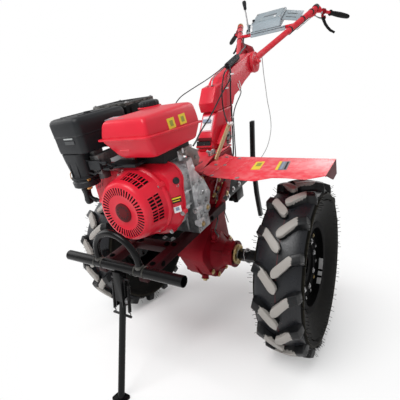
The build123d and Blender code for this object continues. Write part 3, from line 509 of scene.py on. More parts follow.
def make_tyre(name):
    """Carcass, lugs and moulding whiskers of one tyre."""
    placed = MACHINE @ Matrix.Translation((SIDES[name] * WHEEL_X, 0, 0))
    body = f"wheel_{name}"
    draw = random.Random(11 if name == "left" else 12)
    bm = bmesh.new()
    bands = lathe(bm, mirrored(CARCASS), (0, 0, 0), X, TYRE_STEPS)
    lathe(bm, mirrored(INSIDE), (0, 0, 0), X, TYRE_STEPS // 2)
    for index, band in enumerate(bands):
        from_edge = min(index, len(bands) - 1 - index)
        material = 3 if from_edge in RIDGE_BANDS else 1 if from_edge < WALL_POINTS else 0
        for face in band:
            face.material_index = 2 if index == len(bands) // 2 else material
    for i in range(WHISKERS):
        angle = 2 * pi * (i + draw.uniform(-0.2, 0.2)) / WHISKERS
        for side in (1, -1):
            for x, radius, lean in ((81.5, 283.0, 0.45), (78.0, 258.0, 0.05)):
                if draw.random() < 0.3:
                    continue
                out = Vector((side, lean * cos(angle), lean * sin(angle)))
                root = Vector((side * (x - 3), radius * cos(angle), radius * sin(angle)))
                length = draw.uniform(10.0, 16.0)
                bend = Vector((0, draw.uniform(-1.5, 1.5), draw.uniform(-1.5, 1.5)))
                add_whisker(bm, root, out, length, bend, 1.0, 1)
    materials = [TREAD, WALL, TREAD_LINE, RIDGE]
    piece(f"tyre_carcass_{name}", bm, materials, f"tyre_{name}", body=body, smooth=40.0,
          placed=placed)

    bm = bmesh.new()
    worn = bm.verts.layers.float.new("worn")
    pitch = 2 * pi / LUGS
    for i in range(LUGS):
        add_lug(bm, worn, 1, i * pitch + LUG_START[name == "right"])
        add_lug(bm, worn, -1, (i + 0.5) * pitch + LUG_START[name == "left"])
    for i in range(LUGS):
        for side, phase in ((1, 0.0), (-1, 0.5)):
            for swing in (-0.030, 0.018):
                if draw.random() < 0.2:
                    continue
                turn = (i + phase) * pitch - lug_rise(LUG_RUN) / TYRE_R + swing
                root = Vector((side * 77, 304 * cos(turn), 304 * sin(turn)))
                out = Vector((side, 0.9 * cos(turn), 0.9 * sin(turn)))
                length = draw.uniform(9.0, 14.0)
                add_whisker(bm, root, out, length, Z * draw.uniform(-1, 1), 0.7)
    piece(f"tyre_lugs_{name}", bm, LUG, body=body, smooth=50.0, placed=placed)


def make_rim(name):
    """Deep steel rim with its disc, rolled edges, nuts and a blank sticker."""
    side = SIDES[name]
    body = f"wheel_{name}"
    centre = X * side * WHEEL_X
    outward = X * side
    bm = bmesh.new()
    edge = RIM_HALF
    outline = [(-edge, 167), (2.5 - edge, 168.5), (4.5 - edge, 167), (4.5 - edge, 155), (18 - edge, 153),
               (24 - edge, 152), (-20, 140), (26, 139), (edge - 24, 152), (edge - 18, 153),
               (edge - 4.5, 155), (edge - 4.5, 171), (edge - 2.5, 173.5), (edge, 172), (edge, 158),
               (edge - 2, 149.5), (edge - 16, 148.5), (edge - 23, 147), (30, 134.5), (24, 133),
               (23.5, 128), (22, 116), (24, 108), (24, 84), (17, 76), (17, 36), (11, 36), (11, 80),
               (18, 88), (18, 104), (16, 112), (17.5, 128), (18, 133.5), (16, 135), (22 - edge, 147),
               (16 - edge, 148), (2 - edge, 149.5), (-edge, 153), (-edge, 167)]
    lathe(bm, outline, centre, outward, 96)
    for i in range(10):
        at = centre + around_axle(36 * i + 18) * 110
        rod(bm, at + outward * 20, at + outward * 26, 7, 16)
    piece(f"rim_shell_{name}", bm, RIM_BLACK, f"wheel_rim_{name}", body=body, smooth=30.0)

    bm = bmesh.new()
    for i in range(12):
        at = centre + outward * 24.0 + around_axle(30 * i + degrees(0.1)) * 127
        bolt(bm, at, outward, 8, 4, material=i % 3 == 1)
    for i in range(8):
        bolt(bm, centre + outward * 24.6 + around_axle(45 * i) * 95, outward, 12, 6)
    piece(f"rim_nuts_{name}", bm, [STEEL, ZINC], body=body, smooth=30.0)

    bm = bmesh.new()
    start, step = radians(-62), 0.06
    for k in range(12):
        if k in STICKER_GAPS:
            continue
        low, high = start + k * step, start + (k + 1) * step
        corners = [
            centre + outward * along + Vector((0, cos(angle) * side, sin(angle))) * 148.2
            for angle, along in ((low, 33), (high, 33), (high, 49), (low, 49))
        ]
        bm.faces.new([bm.verts.new(corner) for corner in corners])
    bmesh.ops.solidify(bm, geom=bm.faces[:], thickness=0.8)
    piece(f"rim_sticker_{name}", bm, WHITE, body=body, smooth=30.0)


def make_hub(name):
    """Hexagon hub with its clip, cross bolt and end plate."""
    side = SIDES[name]
    body = f"wheel_{name}"
    softened(f"wheel_hub_{name}", 1.6, BLACK, 2, 25.0)
    bm = bmesh.new()
    for along in (196, 246):
        rod(bm, (side * along, 0, -34), (side * along, 0, 34), 4.5, 12)
        bolt(bm, (side * along, 0, 27), Z, 13, 9)
        bolt(bm, (side * along, 0, -27), -Z, 13, 9)
    pipe(bm, [(side * 196, -3, 36), (side * 190, -16, 34), (side * 190, -28, 20), (side * 192, -29, -6)],
         1.6, 8)
    piece(f"hub_bolts_{name}", bm, STEEL, body=body)
    wear_cad(f"half_shaft_{name}", STEEL)


for wheel in SIDES:
    make_tyre(wheel)
    make_rim(wheel)
    make_hub(wheel)

# ---- engine ---------------------------------------------------------------------------------
CRANK = Vector((0, 0, 391))
SLOTS = 46                     # radial slots in the starter's front ring
SLOT_DEPTH = 7.0
SLOT_CELLS = 4                 # steps of the lathe from one slot to the next; two of them are open
LOUVRE_TURNS = (-10, 14, 56, 79, 170, 194, 236, 259)
LOUVRE_BANDS = (5, 7)          # bands of the drum that the louvres open
LOUVRE_CELLS = (-6, -3, 0, 3)
LOUVRE_HALF = degrees(0.2)     # from a louvre's middle to the ridges beside it


def make_recoil():
    """Recoil starter: flange, louvred drum, ring of radial slots and a dark centre."""
    bm = bmesh.new()
    steps = SLOTS * SLOT_CELLS
    profile = [
        (-331, 124), (-341, 124), (-345, 121), (-348, 117.5), (-356, 115.6), (-366, 113.4), (-386, 109.4),
        (-390, 108.6), (-410, 104.4), (-416, 102.8), (-423, 100), (-428, 96.5), (-431, 91.5), (-432, 86),
        (-432, 61), (-431, 56), (-429.5, 50), (-429.5, 34), (-430, 30),
    ]
    bands = lathe(bm, profile, CRANK, Y, steps)
    slot_band = bands[profile.index((-432, 86))]

    def inward(point):
        return (Vector((0, point.y, CRANK.z)) - point).normalized() * SLOT_DEPTH

    # The slots and louvres are sunk, and their floors and walls take the near black as painted shade.
    for first in range(0, steps, SLOT_CELLS):
        inset(bm, slot_band[first:first + 2], lambda point: Y * SLOT_DEPTH, 1)
    for band in LOUVRE_BANDS:
        for turn in LOUVRE_TURNS:
            start = round((180 - turn) / 360 * steps)
            for cell in LOUVRE_CELLS:
                inset(bm, [bands[band][(start + cell + i) % steps] for i in (0, 1)], inward, 1)
    for turn in LOUVRE_TURNS:
        for side in (-LOUVRE_HALF, LOUVRE_HALF):
            spoke = around_crank(turn + side)
            rod(bm, CRANK + spoke * 112.5 - Y * 362, CRANK + spoke * 102.6 - Y * 412, 2.4, 8)
    for turn in (32, 122, 212, 302):
        spoke = around_crank(turn)
        rod(bm, CRANK + spoke * 117 - Y * 331, CRANK + spoke * 115 - Y * 351, 12, 20, 9)
        bolt(bm, CRANK + spoke * 115 - Y * 350, -Y, 9, 6, material=3)
    lathe(bm, [(-428, 32.5), (-432, 32.5), (-433, 30.5), (-433.2, 12)], CRANK, Y, 48, 2, caps=True)
    for turn in range(0, 360, 30):
        spoke = around_crank(turn)
        rod(bm, CRANK + spoke * 21 - Y * 432, CRANK + spoke * 21 - Y * 433.3, 3.4, 10, material=1)
    rod(bm, (-80, -385, 404), (-146, -385, 404), 12, 20, 9)
    piece("recoil_cover_skin", bm, [RED, DARK, DEEP_RED, STEEL], "recoil_cover", smooth=28.0)

    bm = bmesh.new()
    pipe(bm, [(-146, -385, 404), (-172, -385, 406), (-190, -385, 414), (-206, -385, 428)], 6.0, 16)
    rod(bm, (-168, -385, 405.5), (-176, -385, 407), 8.5, 16)
    rings = [
        rounded_rect(-208, -385, 2 * half, 2 * half + 4, half * 0.7, z)
        for z, half in ((391, 8), (395, 11), (406, 13), (418, 11.5), (430, 11.0), (442, 12.5), (448, 13.5),
                        (453, 11))
    ]
    skin(bm, rings)
    piece("starter_grip_skin", bm, SATIN_BLACK, "starter_grip", smooth=50.0)


def arc_points(centre, radius, start, end, steps):
    """Points on an arc in a plane of two coordinates; angles in degrees."""
    turns = [radians(start + (end - start) * i / steps) for i in range(steps + 1)]
    return [(centre[0] + radius * cos(turn), centre[1] + radius * sin(turn)) for turn in turns]


def outline_ring(outline, y, grow):
    """An outline of (x, z) at a depth, moved away from the crankshaft."""
    return [Vector((x, y, z)) + Vector((x, 0, z - CRANK.z)).normalized() * grow for x, z in outline]


def make_blower():
    """Blower housing with its rounded front edge, flange bolts, plug, louvres and blank labels."""
    bm = bmesh.new()
    outline = arc_points((-7, 391), 149, -168, 0, 40)
    outline += [(144, 425)] + arc_points((96, 458), 55, 0, 90, 10)
    outline += [(-150, 514), (-190, 500), (-250, 472), (-250, 380)]
    levels = ((-284, 0), (-292, 0.5), (-300, 3.0), (-308, 8.0), (-316, 14.0), (-324, 20.5), (-331, 27.0))
    skin(bm, [outline_ring(outline, y, -shrink) for y, shrink in levels])
    lip = ((-292, 0), (-292, 2.4), (-285.6, 2.4), (-285.6, 0))
    skin(bm, [outline_ring(outline, y, grow) for y, grow in lip], caps=False)
    for turn in (-60, -20, 20, 100, 200, 250):
        spoke = around_crank(turn)
        rod(bm, CRANK + spoke * 142 - Y * 306, CRANK + spoke * 142 - Y * 284, 10, 18)
        bolt(bm, CRANK + spoke * 144 - Y * 306, -Y, 9, 6, material=2)
    # Three near-black strips as louvre slots: painted shade in their openings.
    for k in range(3):
        block(bm, (-206 + 14 * k, -328, 440 + 5 * k), (4, 6, 34), turned("Y", degrees(0.5)), 1)
    block(bm, (-215, -296, 492), (50, 60, 4), turned("Y", degrees(-0.42)))
    piece("blower_housing_skin", bm, [RED, DARK, STEEL], "blower_housing", smooth=34.0)

    bm = bmesh.new()
    lathe(bm, [(-6, 11), (3, 11), (5, 9.5), (6, 7), (6.4, 4)], (141, -312, 459), (0.66, -0.75, 0.1), 24,
          caps=True)
    piece("housing_plug", bm, SATIN_BLACK, smooth=40.0)

    bm = bmesh.new()
    slant = turned("Z", 51)
    block(bm, (128.6, -316.4, 394), (35, 3.0, 20), slant, 1)
    block(bm, (129.1, -316.8, 400), (34, 3.0, 5), slant, 0)
    block(bm, (129.1, -316.8, 391), (26, 3.0, 2.4), slant, 0)
    slant = slant @ turned("X", -11)
    block(bm, (126.6, -315.6, 362), (25, 3.0, 24), slant, 2)
    block(bm, (127.1, -316.0, 362), (12, 3.0, 11), slant, 3)
    piece("housing_labels", bm, [YELLOW, DARK, WHITE, STICKER_BLUE])


TANK_SIDE = 139.4              # where the stickers stand on the sloping left side
TANK_MID = (46.0, -256.0)
TANK_SIZE = (196.0, 288.0)
CAP_AT = (-14, -176)


def make_tank():
    """Pressed fuel tank: crowned top, rolled seam, tapered belly; a bracket block in painted shade below,
    cap and blank stickers.
    """
    bm = bmesh.new()

    def ring(z, shrink, radius, shift, tilt):
        width, depth = TANK_SIZE[0] - 2 * shrink, TANK_SIZE[1] - 2 * shrink
        points = rounded_rect(TANK_MID[0] + shift, TANK_MID[1], width, depth, radius, z, 8)
        for point in points:
            point.z += tilt * (5.5 - (point.y - TANK_MID[1]) * 0.058)
        return points

    upper = [
        (608.5, 3, 12, 0, 1), (612, 3, 12, 0, 1), (628, 4.5, 12, 0, 0.6), (644, 6.5, 12, 0, 0.2),
        (658, 9, 12, 0, 0), (665.5, 11.5, 13, 0, 0), (670, 15, 14, 0, 0), (673, 20, 15, 0, 0),
        (675, 30, 15, 0, 0), (677, 46, 14, 0, 0), (680, 76, 12, 0, 0),
    ]
    lower = [
        (601.5, 3, 12, 0, 1), (596, 4, 13, 0, 1), (584, 10, 14, 5, 0.8), (570, 17, 15, 10, 0.5),
        (560, 22, 16, 14, 0.3), (555, 26, 16, 16, 0.2), (552, 32, 16, 17, 0.1), (551, 44, 14, 17, 0),
    ]
    lip = [
        (608.5, 3, 14, 0, 1), (608, -7.5, 19, 0, 1), (607, -9, 20, 0, 1), (603, -9, 20, 0, 1),
        (602, -7.5, 19, 0, 1), (601.5, 3, 14, 0, 1),
    ]
    for levels in (upper, lower, lip):
        skin(bm, [ring(*level) for level in levels], caps=levels is not lip)
    for y in (-330, -200):
        block(bm, (TANK_MID[0] - 98, y, 600), (16, 22, 4))
    lathe(bm, [(0, 42), (2.5, 42), (4, 39), (4.5, 34)], (*CAP_AT, 677), Z, 40)
    piece("fuel_tank_skin", bm, RED, "fuel_tank", smooth=45.0)
    # A near-black bracket block under the tank: painted shade beneath the tank.
    bm = bmesh.new()
    block(bm, (46, -226, 532), (120, 150, 44))
    soften(bm, 4, 2)
    piece("tank_bracket_shade_block", bm, DARK)

    bm = bmesh.new()
    rings = []
    grip_from, grip_to = 682, 693
    for z, radius in ((679.5, 32), (682, 35.5), (693, 35.5), (697, 33), (699.5, 28), (699.8, 12)):
        ring = []
        for i in range(72):
            groove = 1.6 if i % 4 < 2 and grip_from <= z <= grip_to else 0.0
            turn = 2 * pi * i / 72
            ring.append((CAP_AT[0] + (radius - groove) * cos(turn),
                         CAP_AT[1] + (radius - groove) * sin(turn), z))
        rings.append(ring)
    skin(bm, rings)
    piece("fuel_cap_skin", bm, SATIN_BLACK, "fuel_cap", smooth=30.0)

    bm = bmesh.new()
    lean = turned("Y", -degrees(atan2(7.0, 52.0)))
    for y in (-275, -213):
        block(bm, (TANK_SIDE, y, 632), (1.6, 36, 32), lean, 0)
        block(bm, (TANK_SIDE + 0.7, y, 632), (1.4, 16, 17), lean, 1)
    block(bm, (4, -352, 675.4), (84, 40, 2.0), turned("X", 4), 2)
    block(bm, (4, -352, 676.0), (76, 10, 2.0), turned("X", 4), 3)
    block(bm, (30, -384.5, 586), (38, 1.6, 12), turned("X", -26), 4)
    piece("tank_stickers", bm, [YELLOW, STICKER_OLIVE, STICKER_GREY, STICKER_PINK, STICKER_RED])


def make_air_cleaner():
    """Satin black box with its lid seam, ribs and blank mark; bowl below it with a brass nut."""
    bm = bmesh.new()
    mid_x, mid_y, width, depth = -175.5, -315.0, 149.0, 230.0
    levels = [(583, 12, 14), (586, 7, 18), (598, 5, 20), (626, 4, 20), (640, 3.4, 20), (641, 2.4, 20),
              (644, 2.0, 20), (645, 2.8, 20), (664, 1.6, 20), (684, 0.8, 20), (692, 3, 20),
              (697, 7.5, 19), (699.6, 15, 17), (700, 30, 14)]
    rings = [
        rounded_rect(mid_x, mid_y, width - 2 * shrink, depth - 2 * shrink, radius, z)
        for z, shrink, radius in levels
    ]
    skin(bm, rings)
    for x in (-220, -132):
        block(bm, (x, -315, 700), (5, 150, 3))
    lathe(bm, [(0, 13), (5, 13), (7, 10), (7, 5)], (-175, -315, 698), Z, 24, caps=True)
    piece("air_cleaner_skin", bm, SATIN_BLACK, "air_cleaner", smooth=40.0)

    bm = bmesh.new()
    block(bm, (-164, -427.6, 636), (44, 1.6, 4.6))
    block(bm, (-162, -427.0, 623), (46, 1.6, 11), material=1)
    piece("air_cleaner_mark", bm, [CABLE_GREY, MARK_GREY])

    bm = bmesh.new()
    levels = [(583, 50, 39, 20), (560, 48, 38, 22), (532, 45, 36, 26), (508, 42, 35, 30), (500, 41, 38, 34)]
    rings = [rounded_rect(-188, -386, 2 * a, 2 * b, r, z) for z, a, b, r in levels]
    skin(bm, rings)
    bowl = [(463, 30), (464, 41), (467, 46), (484, 48), (488, 44), (492, 44), (495, 47.5), (500, 47.5),
            (502, 40)]
    lathe(bm, bowl, (-188, -386, 0), Z, 40, caps=True)
    for x in (-206, -170):
        block(bm, (x, -421, 538), (4, 6, 70))
    piece("air_cleaner_bowl_skin", bm, SATIN_BLACK, "air_cleaner_bowl", smooth=40.0)

    bm = bmesh.new()
    bolt(bm, (-176, -392, 463.8), -Z, 17, 14)
    rod(bm, (-146, -404, 492), (-146, -414, 492), 4, 12)
    pipe(bm, [(-232, -404, 520), (-236, -410, 510), (-232, -414, 498), (-226, -412, 488)], 1.6, 8)
    piece("bowl_nut", bm, BRASS)


def make_muffler():
    """Guard with rows of slots and a stepped top over the muffler."""
    low_x, high_x, low_y, high_y = -300.0, -101.0, -192.0, -20.0
    mid_x, mid_y = (low_x + high_x) / 2, (low_y + high_y) / 2
    width, depth = high_x - low_x, high_y - low_y
    bm = bmesh.new()
    levels = [(548, 0), (552, 0), (686, 0), (695, 2.5), (702, 8), (705.4, 16), (706, 30)]
    rings = [rounded_rect(mid_x, mid_y, width - 2 * s, depth - 2 * s, 24 - s * 0.3, z) for z, s in levels]
    skin(bm, rings, caps=False)
    bm.faces.new([bm.verts.new(point) for point in rings[-1]])
    # The guard's slots are near-black blocks on its faces: painted shade in the openings.
    for i in range(9):
        x = low_x + 34 + i * 16.4
        for y in (low_y, high_y):
            block(bm, (x, y, 640), (6, 1.6, 58), material=1)
        block(bm, (x, mid_y, 706), (6, 92, 1.6), material=1)
    for i in range(7):
        y = low_y + 34 + i * 17.2
        for x in (low_x, high_x):
            block(bm, (x, y, 640), (1.6, 6, 58), material=1)
    for x in (low_x + 16, high_x - 16):
        for y in (low_y + 16, high_y - 16):
            bolt(bm, (x, y, 704), Z, 9, 5, material=2)
    piece("muffler_guard_skin", bm, [BLACK, DARK, STEEL], "muffler_guard", smooth=35.0)
    wear_cad("muffler", OLIVE_BLACK)


def make_crankcase():
    """Cast crankcase with ribs, bosses, covers and bolts; cylinder fins; throttle linkage."""
    bm = from_cad("engine_crankcase")
    soften(bm, 5, 3, 30)
    flange = [(x * 0.985, z) for x, z in arc_points((-7, 391), 146, -120, 0, 24)]
    flange += [(138, 425)] + arc_points((92, 458), 48, 0, 90, 8) + [(-60, 506), (-90, 400)]
    prism(bm, flange, -285, -276, "y")
    inner = [(x * 0.93, 391 + (z - 391) * 0.93) for x, z in flange]
    prism(bm, inner, -277, -236, "y")
    for turn in (-66, -42, -18, 4, 24, 44):
        spoke = around_crank(turn)
        rod(bm, CRANK + spoke * 137 - Y * 284, CRANK + spoke * 137 - Y * 262, 9, 16)
        block(bm, CRANK + spoke * 131 - Y * 256, (16, 44, 5), turned("Y", -turn))
    for y in (-222, -200, -178):
        block(bm, (141, y, 330), (7, 5, 150))
    for z in (285, 345):
        block(bm, (141, -190, z), (6, 72, 5))
    for y, z, radius, reach in ((-200, 372, 26, 12), (-176, 306, 17, 13), (-222, 262, 12, 12),
                                (-150, 352, 12, 8)):
        rod(bm, (136, y, z), (140 + reach, y, z), radius + 2, 28, radius)
    for x in (-95, 0, 95):
        block(bm, (x, -231, 262), (8, 10, 56))
    block(bm, (10, -196, 236), (250, 76, 10))
    block(bm, (88, -214, 478), (94, 42, 34), turned("X", degrees(0.25)))
    rod(bm, (76, -238, 486), (76, -190, 486), 20, 28)
    rod(bm, (126, -238, 462), (126, -196, 462), 15, 24)
    for x, z in ((124, 430), (140, 318), (138, 270)):
        rod(bm, (x, -237, z), (x, -206, z), 12, 20)
    lathe(bm, [(0, 88), (4, 88), (6, 84), (6, 62), (10, 60), (10, 40)], (0, -122, 391), Y, 48)
    piece("crankcase_skin", bm, ALUMINIUM, "engine_crankcase", smooth=35.0)

    bm = bmesh.new()
    for y, z in ((-222, 418), (-180, 412), (-216, 330), (-160, 330), (-218, 290), (-172, 262), (-228, 245)):
        bolt(bm, (141, y, z), X, 10, 7)
    for x, z in ((124, 430), (140, 318)):
        bolt(bm, (x, -237, z), -Y, 11, 7)
    bolt(bm, (150, -200, 372), X, 17, 10)
    for turn in range(20, 380, 60):
        bolt(bm, CRANK + around_crank(turn) * 74 - Y * 113.5, Y, 10, 7)
    piece("crankcase_bolts", bm, STEEL)

    bm = bmesh.new()
    for y, z in ((-176, 306), (-222, 262)):
        rod(bm, (148, y, z), (153, y, z), 8, 24)
        bolt(bm, (152, y, z), X, 11, 8)
    piece("drain_plugs", bm, ZINC)

    bm = bmesh.new()
    outline = [(-222, 517), (-226, 532), (-170, 532), (-122, 506), (-112, 470), (-132, 448), (-158, 462),
               (-176, 498)]
    prism(bm, outline, 100, 114, "x")
    soften(bm, 2.5, 2, 30)
    for y, z, radius in ((-196, 516, 9), (-140, 482, 7)):
        rod(bm, (98, y, z), (118, y, z), radius, 20)
        bolt(bm, (115, y, z), X, 9, 5)
    block(bm, (60, -190, 518), (92, 46, 4))
    piece("throttle_bracket_skin", bm, BRACKET_GREY, "throttle_bracket")

    bm = bmesh.new()
    pipe(bm, [(108, -206, 524), (84, -232, 520), (40, -246, 524), (-40, -250, 522), (-86, -300, 530)],
         2.0, 8)
    pipe(bm, [(96, -240, 512), (60, -252, 518), (0, -256, 516), (-70, -262, 520)], 1.5, 8)
    coil = []
    for i in range(140):
        turn = i * 0.62        # radians, and the millimetres it moves along
        coil.append((88 - turn, -246 + 3.6 * cos(turn), 507 + 3.6 * sin(turn)))
    pipe(bm, coil, 0.8, 5)
    for x, y, z in ((100, -236, 520), (70, -240, 524), (118, -216, 528), (-40, -250, 522)):
        rod(bm, (x, y, z - 6), (x, y, z + 7), 5.0, 14)
        bolt(bm, (x, y, z + 6), Z, 8, 5, washer=False)
    piece("throttle_rods", bm, STEEL)

    bm = from_cad("cylinder_block")
    soften(bm, 3, 2, 30)
    fin = [(-118, 368), (-118, 511), (-152, 536), (-229, 536), (-261, 499), (-268, 438), (-243, 383)]
    for i in range(9):
        y = -228 + i * 11.5
        prism(bm, fin, y, y + 3.5, "y")
    piece("cylinder_fins", bm, ALUMINIUM, "cylinder_block", smooth=30.0)

    # The carburettor's dark metal is partly its own finish and partly painted shade from the tank and
    # housing around it.
    softened("carburettor", 3.0, DARK_METAL, 2)
    bm = bmesh.new()
    lathe(bm, [(512, 19), (508, 20), (504, 18), (496, 17), (492, 12)], (-112, -366, 0), Z, 28, caps=True)
    block(bm, (-106, -398, 540), (52, 10, 30))
    block(bm, (-66, -372, 524), (30, 42, 8))
    rod(bm, (-90, -400, 552), (-60, -404, 548), 4, 12)
    rod(bm, (-60, -404, 548), (-44, -404, 548), 7, 16, 5)
    pipe(bm, [(-128, -398, 552), (-146, -402, 560), (-152, -396, 574)], 3.2, 10)
    pipe(bm, [(-96, -392, 520), (-120, -400, 508), (-150, -398, 512), (-156, -388, 530)], 3.6, 10)
    pipe(bm, [(-70, -380, 536), (-50, -372, 522), (-10, -350, 520), (40, -330, 524)], 3.4, 10)
    block(bm, (-30, -330, 523), (120, 60, 10))
    piece("choke_and_hoses", bm, [SATIN_BLACK, BRASS], smooth=40.0)


make_recoil()
make_blower()
make_tank()
make_air_cleaner()
make_muffler()
make_crankcase()

# ---- chassis front, stand and gearbox -------------------------------------------------------
BUMPER = Vector((0, -504, 238))
FRAME_SHADE_SPLIT = -110             # the engine frame is painted in shade colour ahead of this, under the engine
PIVOT = Vector((0, -529, 129))
SLEEVE_UP = around_axle(90 - 11.3)
UPPER_PIN = PIVOT + SLEEVE_UP * 73.0
SPRING_TURNS, TURN_STEPS = 26, 12
SPRING_R = 4.2
CASE_BOLT_TURNS = (-150, -115, -75, -35, 5)


def make_front():
    """Bumper tube with open ends, lifting hoop, engine frame with bolts, stand bracket and leg."""
    bm = bmesh.new()
    profile = [(-180, 14.2), (-240, 14.2), (-248, 14.5), (-248, 17), (-247, 17), (247, 17), (248, 17),
               (248, 14.5), (240, 14.2), (180, 14.2)]
    lathe(bm, profile, BUMPER, X, 32)
    for x in (-180, 180):
        rod(bm, BUMPER + X * x, BUMPER + X * (x * 0.99), 14.4, 24, material=1)
    for x in (-89, 89):
        lathe(bm, [(-4, 12.5), (0, 14.5), (5, 14.0), (9, 11.4)], BUMPER + X * x + Z * 13, Z, 20, 2)
    for x in (-107, -73, 73, 107):
        lathe(bm, [(x - 3, 17.1), (x, 19.2), (x + 3, 17.1)], BUMPER, X, 28, 2)
    piece("front_bumper_skin", bm, [BLACK, DARK, OLIVE_BLACK], "front_bumper", smooth=40.0)
    wear_cad("bumper_hoop", BLACK)

    bm = from_cad("engine_frame")
    soften(bm, 3.0, 2)
    # Faces ahead of the split take the near-black copy as painted shade; the rest keep the bar red.
    for face in bm.faces:
        face.material_index = int(face.calc_center_median().y > FRAME_SHADE_SPLIT)
    piece("engine_frame_skin", bm, [SHADED_FRAME_RED, BAR_RED], "engine_frame")
    bm = bmesh.new()
    for x in (-90, 90):
        for y in (-450, -330, -160):
            bolt(bm, (x, y, 230), Z, 11, 7)
        for y in (-420, -90):
            bolt(bm, (x + copysign(17, x), y, 215), X * x, 10, 6)
    for x in (-60, 60):
        for y in (-330, -160):
            bolt(bm, (x, y, 228), Z, 12, 8)
    # The frame's bolts are near black, in the frame's painted shade.
    piece("frame_bolts", bm, RIM_BLACK)

    softened("stand_bracket", 1.2, BLACK, 2)
    softened("stand_leg", 1.5, BLACK, 2, 50)
    bm = bmesh.new()
    for side in (1, -1):
        bolt(bm, (side * 18.8, -529, 129), X * side, 11, 6)
        rod(bm, (side * 12, -529, 129), (side * 19, -529, 129), 7.0, 18)
    piece("stand_pivot_bolts", bm, STEEL)


def make_stand_springs():
    """Two coil springs with hooks, from the sleeve's pin to the leg's pin."""
    foot = Vector((0, -587, -330))
    foot.rotate(Matrix.Rotation(-NOSE_DOWN, 3, "X"))
    lower = PIVOT - (PIVOT - foot).normalized() * 49.0
    along = lower - UPPER_PIN
    across, out = square_to(along)
    bm = bmesh.new()
    for side in (1, -1):
        start = UPPER_PIN + X * side * 33.0
        points = [start + out * 3.6, start + along * 0.06 + out * 3.2]
        for i in range(SPRING_TURNS * TURN_STEPS + 1):
            share = 0.13 + 0.74 * i / (SPRING_TURNS * TURN_STEPS)
            angle = 2 * pi * i / TURN_STEPS
            points.append(start + along * share + (across * cos(angle) + out * sin(angle)) * SPRING_R)
        points += [start + along * 0.94 + out * 3.2, start + along + out * 3.6]
        pipe(bm, points, 1.6, 6)
    springs = piece("stand_coil_springs", bm, BLACK, "stand_springs", body=None, smooth=60.0)
    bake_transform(springs)


